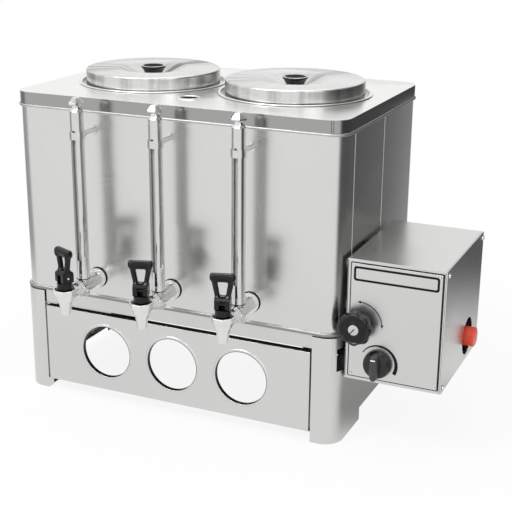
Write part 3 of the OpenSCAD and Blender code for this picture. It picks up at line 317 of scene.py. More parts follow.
def enamel(name, tone):
    """Screen-printed ink on the plate."""
    s = Shader(name)
    clouds = s.grain((300.0, 300.0, 300.0), 3.0)
    colour = s.tint(clouds, scaled(tone, 0.8), scaled(tone, 1.2))
    return s.surface(Base_Color=colour, Roughness=s.span(clouds, 0.35, 0.5), Specular_IOR_Level=0.2)


# Each finish: its maker, a colour or the name of its setting, a factor on the colour, and the maker's other values
FINISH_TABLE = {
    "tank_steel": (brushed_steel, "sheet", 1, "X", (0.22, 0.27), 0.003),
    # The deck's top is painted lighter and its skirt darker than the tank's steel: painted light and painted shade.
    "deck_steel": (brushed_steel, "sheet", 1.24, "X", (0.26, 0.32), 0.003),
    "skirt_steel": (brushed_steel, "sheet", 0.53, "X", (0.13, 0.17), 0.002),
    "base_steel": (brushed_steel, "sheet", 1, "X", (0.3, 0.36), 0.004),
    "rail_steel": (brushed_steel, "sheet", 0.97, "X", (0.36, 0.42), 0.003),
    "upright_steel": (brushed_steel, "sheet", 1, "Z", (0.24, 0.34), 0.006),
    "box_steel": (brushed_steel, "sheet", 0.98, "Y", (0.26, 0.34), 0.008),
    "plate_metal": (brushed_steel, "sheet", 0.96, "X", (0.3, 0.36), 0.006),
    # The lids' finishes carry painted reflections; the last value sets how dark the painted wedges on their tops go.
    "left_lid_steel": (spun_steel, "sheet", 1.04, 0.95),
    "right_lid_steel": (spun_steel, "sheet", 1.04, 0.5),
    # The hems are painted darker than the sheet, a painted shade that tones down their highlights.
    "hem_steel": (plated, "sheet", 0.74, (0.42, 0.5)),
    "foot_steel": (plated, "sheet", 0.5, (0.5, 0.6)),
    "seam_steel": (plated, "sheet", 0.9, (0.3, 0.36)),
    "chrome": (plated, "chrome", 1),
    "tube_chrome": (plated, "chrome", 0.88, (0.1, 0.17)),
    "fitting_satin": (plated, "chrome", 0.82, (0.2, 0.28)),
    "wing_chrome": (plated, "chrome", 0.95, (0.06, 0.12)),
    "satin_chrome": (plated, "chrome", 1.05, (0.2, 0.3)),
    "brass": (plated, (0.72, 0.56, 0.28), 1, (0.2, 0.34)),
    # Black plastic for the handles, bonnets and knobs, and for painted shade on the cock knob's face.
    "black_plastic": (moulded, "handle", 0.25, (0.12, 0.17), 0.005, 0.34),
    "knob_plastic": (moulded, "handle", 0.8, (0.17, 0.24), 0.012, 0.45),
    "grip_plastic": (moulded, "handle", 3.2, (0.24, 0.32), 0.01, 0.6),
    "red_plastic": (moulded, "cap", 1, (0.3, 0.42), 0.02),
    # Black rubber for the gaskets and the knobs' hollows, and for painted shade lines and the cups' outlets.
    "rubber": (moulded, (0.008, 0.008, 0.008), 1, (0.6, 0.75), 0.1, 0.2),
    "glass": (gauge_glass, (0.60, 0.61, 0.60), 1, (0.50, 0.51, 0.50)),
    # Dark metal for soot, and for painted shade in the base and in the gap under the rail.
    "sooted_steel": (cast_metal, (0.045, 0.040, 0.036), 1, (0.5, 0.7), 0.6),
    # Cast iron for the burner, and for painted shade inside the cups' rims.
    "cast_iron": (cast_metal, (0.10, 0.095, 0.09), 1),
    # Black iron for the gas pipe, and for painted shade in the air holes and behind the leg's notch.
    "black_iron": (cast_metal, (0.01, 0.01, 0.01), 1, (0.45, 0.6), 0.3),
    "die_cast": (cast_metal, (0.55, 0.56, 0.57), 1, (0.4, 0.5)),
    # Black ink for the print, and for painted shade lines.
    "black_ink": (enamel, (0.004, 0.004, 0.004), 1),
    "white_ink": (enamel, (0.85, 0.85, 0.83), 1),
}
FINISHES = {}


def finish(name):
    """The finish of that name, made once."""
    if name not in FINISHES:
        maker, colour, factor, *values = FINISH_TABLE[name]
        scene = bpy.context.scene
        settings = {
            "sheet": scene.urn_sheet.steel_tone,
            "chrome": scene.urn_fittings.chrome_tone,
            "handle": scene.urn_fittings.handle_tone,
            "cap": scene.urn_fittings.cap_tone,
        }
        FINISHES[name] = maker(name, scaled(settings.get(colour, colour), factor), *values)
    return FINISHES[name]


# Pieces


def paint(obj, name):
    """Gives a piece one finish."""
    obj.data.materials.clear()
    obj.data.materials.append(finish(name))


def keep(finish_name, *nodes):
    """CAD nodes whose shape stays as it is get their finish."""
    for n in nodes:
        paint(NODES[n], finish_name)


def piece(name, mesh, finish_name, node):
    """A new object with a finish, which rides with a node's body."""
    obj = bpy.data.objects.new(name, mesh)
    bpy.context.scene.collection.objects.link(obj)
    paint(obj, finish_name)
    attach(obj, NODES[node]["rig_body"])
    return obj


def smooth(mesh, angle=SHARP):
    """Shades a mesh smooth up to an angle."""
    mesh.polygons.foreach_set("use_smooth", [True] * len(mesh.polygons))
    mesh.set_sharp_from_angle(angle=math.radians(angle))
    mesh.update()


def mesh_of(name, bm, angle=None, outward=True):
    """The finished mesh, with its faces turned outward and its shading smoothed up to an angle."""
    if outward:
        bmesh.ops.recalc_face_normals(bm, faces=bm.faces)
    mesh = bpy.data.meshes.new(name)
    bm.to_mesh(mesh)
    bm.free()
    if angle:
        smooth(mesh, angle)
    return mesh


def clean_copy(node):
    """A node's mesh with its doubled points joined and its flat faces made whole."""
    bm = bmesh.new()
    bm.from_mesh(NODES[node].data)
    bmesh.ops.remove_doubles(bm, verts=bm.verts, dist=4e-6)
    bmesh.ops.dissolve_limit(bm, angle_limit=math.radians(0.4), verts=bm.verts, edges=bm.edges)
    return mesh_of(node + "_dressed", bm, outward=False)


def break_edges(obj, radius, segments, angle):
    """Rounds the edges of a piece that are sharper than an angle."""
    edges = obj.modifiers.new("edges", "BEVEL")
    edges.limit_method, edges.angle_limit = "ANGLE", math.radians(angle)
    edges.width, edges.segments, edges.harden_normals = radius, segments, True


def soften(node, finish_name, radius, segments=2):
    """A copy of a node with its edges broken, which stands for the node."""
    mesh = clean_copy(node)
    smooth(mesh)
    obj = piece(node + "_piece", mesh, finish_name, node)
    break_edges(obj, radius, segments, SHARP)
    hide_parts(node)
    return obj


def part_finish(obj, finish_name, test):
    """Faces of a piece that pass the test get a second finish."""
    obj.data.materials.append(finish(finish_name))
    index = len(obj.data.materials) - 1
    for face in obj.data.polygons:
        if test(face.center, face.normal):
            face.material_index = index


def middle(node):
    """The middle of a node's box."""
    return [(a + b) / 2 for a, b in zip(*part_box(node))]


def off_axis(point, axis):
    """How far a point lies from an upright axis."""
    return math.hypot(point[0] - axis[0], point[1] - axis[1])


def faces_inward(centre, normal):
    """True for the faces of the base that look into the urn, up or down."""
    cx, cy, _ = middle("base_rail")
    inward = (cx - centre[0], cy - centre[1])
    length = math.hypot(*inward) or 1.0
    return (inward[0] * normal[0] + inward[1] * normal[1]) / length > 0.25 or abs(normal[2]) > 0.9


# Shapes


def bridge(bm, rings, closed=False):
    """Faces from each ring of points to the next, and from the last to the first where they close."""
    for a, b in zip(rings, rings[1:] + (rings[:1] if closed else [])):
        for k in range(max(len(a), len(b))):
            square = (a[k % len(a)], a[(k + 1) % len(a)], b[(k + 1) % len(b)], b[k % len(b)])
            bm.faces.new(list(dict.fromkeys(square)))


def bar(bm, rings):
    """Faces from each ring of points to the next, and over both ends."""
    bridge(bm, rings)
    bm.faces.new(rings[0][::-1])
    bm.faces.new(rings[-1])


def polar(cx, cz, r, angle):
    a = math.radians(angle)
    return cx + r * math.cos(a), cz + r * math.sin(a)


def lathe(name, profile, centre, forward=False, turns=96, lobes=0, lobe_depth=0.0, closed=False, start=0.0):
    """A turned mesh. The profile's rows are radius, height and the share of the lobes.

    Forward turns its axis to the front.
    """
    bm = bmesh.new()
    rings = []
    for row in profile:
        radius, height, share = (*row, 0.0)[:3]
        ring = []
        for k in range(turns if radius > 0 else 1):
            a = 2 * math.pi * k / turns + start
            r = radius * (1 - share * lobe_depth * (0.5 - 0.5 * math.cos(lobes * a)))
            x, y = r * math.cos(a), r * math.sin(a)
            at = (x, -height, y) if forward else (x, y, height)
            ring.append(bm.verts.new([c + d for c, d in zip(centre, at)]))
        rings.append(ring)
    bridge(bm, rings, closed)
    return mesh_of(name, bm, SHARP)


def outline_plate(name, loops, y, thickness):
    """A thin upright plate that faces the front, from closed loops of (x, z) points."""
    bm = bmesh.new()
    for loop in loops:
        verts = [bm.verts.new((x, y, z)) for x, z in loop]
        for a, b in zip(verts, verts[1:] + verts[:1]):
            bm.edges.new((a, b))
    bmesh.ops.triangle_fill(bm, use_beauty=True, edges=bm.edges)
    for f in bm.faces:
        f.normal_update()
        if f.normal.y > 0:
            f.normal_flip()
    bmesh.ops.solidify(bm, geom=bm.faces, thickness=-thickness)
    return mesh_of(name, bm)


def mark(name, loops, y, node="label_plate", finish_name="black_ink", thickness=PRINT):
    """A printed or drawn mark on the front of a node."""
    piece(name, outline_plate(name, loops, y, thickness), finish_name, node)


def box_path(lo, hi, r, lift=0.0, steps=10):
    """Points and outward directions round a rectangle with round corners."""
    out = []
    corners = ((hi[0] - r, hi[1] - r), (lo[0] + r, hi[1] - r), (lo[0] + r, lo[1] + r), (hi[0] - r, lo[1] + r))
    for quarter, (cx, cy) in enumerate(corners):
        for k in range(steps + 1):
            a = math.radians(90 * quarter + 90 * k / steps)
            out.append((cx + (r + lift) * math.cos(a), cy + (r + lift) * math.sin(a), math.cos(a), math.sin(a)))
    return out


def round_loop(x0, x1, z0, z1, r, steps=8):
    """Points round a rectangle with round corners."""
    return [(x, z) for x, z, _, _ in box_path((x0, z0), (x1, z1), r, steps=steps)]


def upright_line(x, half, low, high):
    """Outline of a thin upright line."""
    return round_loop(x - half, x + half, low, high, 0.0002, 2)


def arc_loop(cx, cz, inner, outer, start, end, steps=48):
    """Points round an arc-shaped band, whose inner and outer radius are given at its start and its end."""
    out, back = [], []
    for k in range(steps + 1):
        t = k / steps
        for side, (first, last) in ((out, outer), (back, inner)):
            side.append(polar(cx, cz, first + (last - first) * t, start + (end - start) * t))
    return out + back[::-1]


def round_corners(corners, steps=6):
    """A closed outline through (x, z, cut) corners, each rounded over its cut."""
    out = []
    for k, (x, z, cut) in enumerate(corners):
        here = Vector((x, z))
        before = here + (Vector(corners[k - 1][:2]) - here).normalized() * cut
        after = here + (Vector(corners[(k + 1) % len(corners)][:2]) - here).normalized() * cut
        if cut == 0:
            out.append(here)
            continue
        for j in range(steps + 1):
            t = j / steps
            out.append(before * (1 - t) ** 2 + here * 2 * t * (1 - t) + after * t ** 2)
    return out


def even_points(outline, count):
    """Points at equal steps along a closed outline."""
    ends = outline[1:] + outline[:1]
    lengths = [(b - a).length for a, b in zip(outline, ends)]
    total = sum(lengths)
    out, k, gone = [], 0, 0.0
    for j in range(count):
        want = total * j / count
        while gone + lengths[k] < want:
            gone += lengths[k]
            k += 1
        t = (want - gone) / lengths[k] if lengths[k] else 0.0
        out.append(outline[k].lerp(ends[k], t))
    return out


def mirrored_outline(half, count):
    """Even points round an outline, from the corners of its right half."""
    return even_points(round_corners(half + [(-x, z, cut) for x, z, cut in half[:0:-1]]), count)


def hem(name, node, z, half, finish_name):
    """A half-round hem round the four sides of a node."""
    lo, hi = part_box(node)
    bulge = [math.radians(-90 + 180 * k / 8) for k in range(9)]
    section = [(HEM_PROUD * math.cos(a), half * math.sin(a)) for a in bulge] + [(HEM_ROOT, half), (HEM_ROOT, -half)]
    bm = bmesh.new()
    columns = []
    for x, y, nx, ny in box_path([v + HEM_SINK for v in lo], [v - HEM_SINK for v in hi], HEM_CORNER, HEM_LIFT):
        columns.append([bm.verts.new((x + nx * out, y + ny * out, z + up)) for out, up in section])
    bridge(bm, columns, True)
    piece(name, mesh_of(name, bm, 50), finish_name, node)


# Operators


class URN_OT_tank(bpy.types.Operator):
    """Tank shell and tank floor."""

    bl_idname = "urn.tank"
    bl_label = "Tank"

    def execute(self, context):
        soften("tank_shell", "tank_steel", context.scene.urn_sheet.fold_radius * 0.4)
        keep("sooted_steel", "tank_floor")
        for name, y in (("side_weld", 0.0587), ("corner_weld", -0.0743)):
            self.weld(name, y)
        return {"FINISHED"}

    def weld(self, name, y):
        """A low round weld seam up the side of the tank."""
        proud, half = 0.0007, 0.0009
        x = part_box("tank_shell")[1][0] + 0.0001
        low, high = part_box("base_rail")[1][2] + 0.001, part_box("top_deck")[0][2] - 0.001
        angles = [math.radians(-100 + 200 * k / 8) for k in range(9)]
        bm = bmesh.new()
        bar(bm, [
            [bm.verts.new((x + proud * math.cos(a), y + half * math.sin(a), z)) for a in angles] for z in (low, high)
        ])
        piece(name, mesh_of(name, bm, 60), "seam_steel", "tank_shell")


class URN_OT_deck(bpy.types.Operator):
    """Top deck with its skirt, hem and fill rim."""

    bl_idname = "urn.deck"
    bl_label = "Deck"

    def execute(self, context):
        deck = soften("top_deck", "deck_steel", context.scene.urn_sheet.fold_radius)
        lo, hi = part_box("top_deck")
        hem_half = 0.0021
        # The deck's upright faces get the darker copy of its steel, a painted shade.
        part_finish(deck, "skirt_steel", lambda c, n: abs(n[2]) < 0.3 and lo[2] + 0.0032 < c[2] < hi[2] - 0.003)
        # The hem is a darker copy of the steel, a painted shade.
        hem("skirt_hem", "top_deck", lo[2] + hem_half, hem_half, "hem_steel")
        for k, from_side in enumerate((0.0215, 0.0180)):
            line = upright_line(hi[0] - from_side, 0.0003, lo[2] + 0.0046, hi[2] - 0.002)
            mark("skirt_joint_%d" % (k + 1), [line], lo[1] + HEM_SINK - PRINT_SINK, "top_deck", "sooted_steel")
        return {"FINISHED"}


class URN_OT_crocks(bpy.types.Operator):
    """Crocks, lids, lid knobs and their screws."""

    bl_idname = "urn.crocks"
    bl_label = "Crocks and lids"

    def execute(self, context):
        fold = context.scene.urn_sheet.fold_radius
        rim_foot, rim_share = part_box("top_deck")[1][2] - 0.0013, 0.42
        hollow, edge = 0.0166, 0.0172
        for side in ("left", "right"):
            # The crocks' rims get the deck's lighter copy of the steel, a painted light.
            crock = soften(side + "_crock", "deck_steel", fold * 0.3)
            for v in crock.data.vertices:
                if v.co.z > rim_foot:
                    v.co.z = rim_foot + (v.co.z - rim_foot) * rim_share
            soften(side + "_lid", side + "_lid_steel", fold * 0.5)
            knob = soften(side + "_lid_knob", "black_plastic", fold * 0.3)
            mid = middle(side + "_lid_knob")
            part_finish(knob, "rubber", lambda c, n: n[2] > 0 and c[2] > mid[2] and off_axis(c, mid) < hollow)
            part_finish(knob, "satin_chrome", lambda c, n: n[2] > 0.8 and off_axis(c, mid) > edge)
            keep("chrome", side + "_knob_screw")
        return {"FINISHED"}


class URN_OT_base(bpy.types.Operator):
    """Base rail, legs, panels and the dark lines of painted shade beside the legs."""

    bl_idname = "urn.base"
    bl_label = "Base"

    def execute(self, context):
        fold = context.scene.urn_sheet.fold_radius
        rail = soften("base_rail", "rail_steel", fold * 0.6)
        # The rail's underside is painted dark, a painted shade for the gap above the front panel.
        part_finish(rail, "sooted_steel", lambda c, n: n[2] < -0.9)
        hem_half, foot = 0.0026, 0.03
        # The foot hem is a darker copy of the steel, a painted shade.
        hem("foot_hem", "base_rail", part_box("base_rail")[1][2] - hem_half, hem_half, "foot_steel")
        # The faces that look into the base are painted dark: soot, and painted shade inside the base.
        leg = soften("front_left_leg", "upright_steel", fold * 0.6)
        part_finish(leg, "sooted_steel", lambda c, n: c[2] < foot and faces_inward(c, n))
        for n in ("front_right_leg", "rear_legs"):
            part_finish(soften(n, "upright_steel", fold * 0.6), "sooted_steel", faces_inward)
        part_finish(soften("front_panel", "base_steel", fold * 1.4, 3), "sooted_steel", faces_inward)
        for n in ("left_panel", "right_panel", "rear_panel"):
            soften(n, "base_steel", fold * 0.6)
        self.hole_shades()
        self.notch_cheek()
        self.seams()
        self.notch_shade_plate()
        return {"FINISHED"}

    def hole_shades(self):
        """Black sleeves in the front panel's air holes, a painted shade for the holes' shadowed inner walls."""
        pitch, height, deep = 0.118, 0.083, -0.0065
        rows = ((0.0430, 0.0), (0.0425, 0.0), (0.0425, deep), (0.0430, deep))
        for k in (-1, 0, 1):
            at = (middle("front_panel")[0] + k * pitch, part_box("front_panel")[0][1] + 0.0004, height)
            mesh = lathe("air_hole_sleeve_%d" % (k + 2), rows, at, True, closed=True)
            piece(mesh.name, mesh, "black_iron", "front_panel")

    def notch_cheek(self):
        """The leg's rounded wall beside the pipe notch, and a dark band on the rail behind the notch, a painted shade.
        """
        lo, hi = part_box("front_right_leg")
        outer, sheet, low = LEG_CORNER + 0.0003, 0.0013, 0.1165
        inner = outer - sheet
        cx, cy = hi[0] - LEG_CORNER, lo[1] + LEG_CORNER
        section = ((outer, low), (outer, hi[2]), (inner, hi[2]), (inner, low))
        bm = bmesh.new()
        columns = [[bm.verts.new((*polar(cx, cy, r, -54 + 14 * k / 8), z)) for r, z in section] for k in range(9)]
        bar(bm, columns)
        piece("notch_cheek", mesh_of("notch_cheek", bm, SHARP), "upright_steel", "front_right_leg")
        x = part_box("base_rail")[1][0] - HEM_SINK
        self.ribbon("notch_shade", [(x, cy - 0.004), (x, lo[1] + 0.059)], 0.1512, hi[2], -1)

    def seams(self):
        """A dark line along the rail above each front leg, and beside the left one, a painted shade for the gap
        between leg and rail.
        """
        wide, sink, high = 0.042, 0.0018, 0.0012
        for node, inner in (("front_left_leg", 1), ("front_right_leg", -1)):
            lo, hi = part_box(node)
            side = lo[0] if inner > 0 else hi[0]
            x_out, x_in, front = side + inner * sink, side + inner * wide, lo[1] + sink
            path = [(x_in, front)]
            for k in range(13):
                a = math.radians(90 * k / 12)
                x = x_out + inner * LEG_CORNER * (1 - math.sin(a))
                path.append((x, front + LEG_CORNER * (1 - math.cos(a))))
            path.append((x_out, hi[1]))
            self.ribbon(node + "_seam", path, hi[2] - 0.0002, hi[2] + high, inner)
            if inner > 0:
                edge, low = [(x_in + 0.0024, front), (x_in - 0.0002, front)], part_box("base_rail")[0][2] + 0.0002
                self.ribbon(node + "_edge_seam", edge, low, hi[2] + high, inner)

    def ribbon(self, name, path, low, high, inner):
        """A thin upright band along a path, a little proud of the rail."""
        proud = 0.0004
        bm = bmesh.new()
        columns = []
        for k, (x, y) in enumerate(path):
            ax, ay = path[max(k - 1, 0)]
            bx, by = path[min(k + 1, len(path) - 1)]
            nx, ny = (ay - by), (bx - ax)
            if ny > 0 or (abs(ny) < 1e-9 and nx * inner > 0):
                nx, ny = -nx, -ny
            size = math.hypot(nx, ny)
            nx, ny = nx / size * proud, ny / size * proud
            section = ((1, low), (1, high), (-1, high), (-1, low))
            columns.append([bm.verts.new((x + nx * t, y + ny * t, z)) for t, z in section])
        bar(bm, columns)
        piece(name, mesh_of(name, bm), "rubber", "base_rail")

    def notch_shade_plate(self):
        """A dark plate behind the notch in the right front leg, a painted shade for the notch's inside, with a hole
        for the gas pipe.
        """
        pipe_r, hole_r, from_side, inset, drop, rise = 0.0075, 0.0085, 0.016, 0.006, 0.048, 0.1495
        lo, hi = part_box("front_right_leg")
        x, y, z = hi[0] - from_side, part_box("gas_pipe")[0][1] + pipe_r, middle("gas_pipe")[2]
        hole = [polar(y, z, hole_r, 360 * k / 32) for k in range(32)]
        plate = round_loop(lo[1] + inset, hi[1] - inset, z - drop, lo[2] + rise, 0.003)
        mesh = outline_plate("notch_shade_plate", [plate, hole], 0.0, 0.001)
        for v in mesh.vertices:
            v.co = (x + v.co.y, v.co.x, v.co.z)
        mesh.flip_normals()
        piece("notch_shade_plate", mesh, "black_iron", "base_rail")


class URN_OT_burner(bpy.types.Operator):
    """Burner, its straps and the gas pipe."""

    bl_idname = "urn.burner"
    bl_label = "Burner"

    def execute(self, context):
        keep("cast_iron", "burner")
        keep("sooted_steel", "burner_straps")
        keep("black_iron", "gas_pipe")
        return {"FINISHED"}


class URN_OT_taps(bpy.types.Operator):
    """Faucets: nuts, tees, cups, bonnets and handles."""

    bl_idname = "urn.taps"
    bl_label = "Taps"

    def execute(self, context):
        edge = context.scene.urn_fittings.edge_radius
        keep("rubber", "tap_gaskets")
        keep("chrome", "lock_nuts")
        soften("flange_nuts", "chrome", edge)
        soften("gauge_tees", "fitting_satin", edge)
        soften("wing_nuts", "wing_chrome", edge)
        soften("tap_bonnets", "black_plastic", edge)
        for side in SIDES:
            self.cup(side)
            self.handle(side, edge)
            keep("black_plastic", side + "_tap_stem")
            keep("chrome", side + "_handle_pin")
            self.spring(side)
        return {"FINISHED"}

    def spring(self, side):
        """The coil spring, which the stem's shoulder presses up against the bonnet."""
        node = side + "_tap_spring"
        obj = piece(node + "_piece", NODES[node].data.copy(), "chrome", node)
        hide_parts(node)
        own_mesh(obj)

    def cup(self, side):
        """Eight-sided cup with a stepped spout, and its round neck."""
        node = side + "_tap_cup"
        lo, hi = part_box(node)
        cx, cy, _ = middle(side + "_tap_stem")
        # Size across the flats, and height from the rim, in mm
        flats = (
            (0, -1.6), (29.2, -1.6), (30.4, -0.2), (31.4, 0), (33.0, -0.5), (33.2, -1.2), (31.0, -9.4), (29.0, -10.2),
            (22.4, -19.0), (21.6, -19.5), (19.8, -19.9), (12.9, -40.4), (12.2, -41.0), (9.0, -41.0), (9.0, -33.0),
            (0, -33.0),
        )
        eighth = math.radians(22.5)
        rows = [(f / 2000 / math.cos(eighth), z / 1000) for f, z in flats]
        body = lathe(node + "_body", rows, (cx, cy, hi[2]), False, 8, start=eighth)
        neck_r, reach, drop = 0.0098, hi[1] - 0.0064 - cy, 0.0112
        rows = [(0, 0), (neck_r, 0), (neck_r, -reach), (0, -reach)]
        neck = lathe(node + "_neck", rows, (cx, cy, hi[2] - drop), True, 48)
        bm = bmesh.new()
        bm.from_mesh(body)
        bm.from_mesh(neck)
        obj = piece(node + "_piece", mesh_of(node + "_piece", bm, 20, outward=False), "satin_chrome", node)
        # The outlet's bore and the recess inside the rim are painted dark, a painted shade.
        outlet, outlet_r, rim, rim_r = lo[2] + 0.009, 0.0045, hi[2] - 0.0018, 0.0148
        part_finish(obj, "rubber", lambda c, n: c[2] < outlet and off_axis(c, (cx, cy)) < outlet_r)
        part_finish(obj, "cast_iron", lambda c, n: n[2] > 0.3 and c[2] > rim and off_axis(c, (cx, cy)) < rim_r)
        break_edges(obj, 0.0004, 2, 25)
        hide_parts(node)

    def handle(self, side, edge):
        """Hub of the CAD handle below, and a fully rounded loop above it, whose sizes are in mm."""
        node = side + "_tap_handle"
        lo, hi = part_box(node)
        cx, cy, _ = middle(side + "_tap_stem")
        hub_top, points, across, squareness = 0.0167, 112, 18, 2.6
        bm = bmesh.new()
        bm.from_mesh(clean_copy(node))
        geom = bm.verts[:] + bm.edges[:] + bm.faces[:]
        plane = (0, 0, lo[2] + hub_top)
        cut = bmesh.ops.bisect_plane(bm, geom=geom, plane_co=plane, plane_no=(0, 0, 1), clear_outer=True)
        bmesh.ops.holes_fill(bm, edges=[e for e in cut["geom_cut"] if isinstance(e, bmesh.types.BMEdge)])
        top = (hi[2] - lo[2]) * 1000
        outer = [(0, 12, 0), (10.6, 12, 1), (11.9, 21, 3), (16.0, 40.0, 2), (18.6, 44.0, 1.6), (18.6, top, 4.2)]
        inner = [(0, 19.6, 0), (4.4, 19.6, 2.4), (7.6, 39.4, 3.0)]
        turn = Matrix.Rotation(math.radians(HANDLE_TURNS[side]), 3, "Z")
        rings = []
        for a, b in zip(mirrored_outline(inner, points), mirrored_outline(outer, points)):
            ring = []
            for k in range(2 * across):
                step = k if k <= across else 2 * across - k
                u = 0.5 - 0.5 * math.cos(math.pi * step / across)
                at = a.lerp(b, u)
                round_share = max(0.0, 1 - abs(2 * u - 1) ** squareness) ** (1 / squareness)
                y = self.half_depth(u, at.y, b.y) * round_share
                point = turn @ Vector((at.x, -y if k <= across else y, at.y)) / 1000
                ring.append(bm.verts.new((cx + point.x, cy + point.y, lo[2] + point.z)))
            rings.append(ring)
        bridge(bm, rings, True)
        obj = piece(node + "_piece", mesh_of(node + "_piece", bm, 42), "black_plastic", node)
        break_edges(obj, edge * 1.6, 3, 42)
        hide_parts(node)

    def half_depth(self, u, z, outer_z):
        """Half the loop's depth in mm, at a share u of the way from its window to its outline."""
        foot_top, foot_fall, grip_foot, grip_rise = 21.0, 4.2, 41.0, 4.0
        arm_half, foot_more, lip_half, grip_half = 4.0, 3.4, 4.9, 6.3
        groove_at, groove_width, groove_depth = 0.34, 0.07, 0.3
        grip_share = min(1.0, max(0.0, (outer_z - grip_foot) / grip_rise))
        arm = arm_half + foot_more * min(1.0, max(0.0, (foot_top - z) / foot_fall))
        grip = lip_half if u < 0.3 else grip_half
        groove = math.exp(-(((u - groove_at) / groove_width) ** 2))
        return arm + grip_share * (grip * (1 - groove_depth * groove) - arm)


class URN_OT_gauges(bpy.types.Operator):
    """Gauge glasses, shields, collars and caps."""

    bl_idname = "urn.gauges"
    bl_label = "Gauges"

    def execute(self, context):
        edge = context.scene.urn_fittings.edge_radius
        keep("glass", "gauge_glasses")
        for side in SIDES:
            soften(side + "_gauge_shield", "tube_chrome", edge * 0.5)
        soften("gauge_collars", "tube_chrome", edge * 0.6)
        soften("gauge_caps", "chrome", edge)
        return {"FINISHED"}


class URN_OT_control_box(bpy.types.Operator):
    """Control box, cover, fasteners and the gas parts inside."""

    bl_idname = "urn.control_box"
    bl_label = "Control box"

    def execute(self, context):
        fold = context.scene.urn_sheet.fold_radius
        soften("box_housing", "box_steel", fold)
        soften("box_cover", "box_steel", fold * 0.6)
        soften("box_fasteners", "chrome", fold * 0.3)
        keep("brass", "gas_cock", "gas_inlet")
        keep("die_cast", "thermostat")
        soften("inlet_cap", "red_plastic", fold * 0.5)
        return {"FINISHED"}


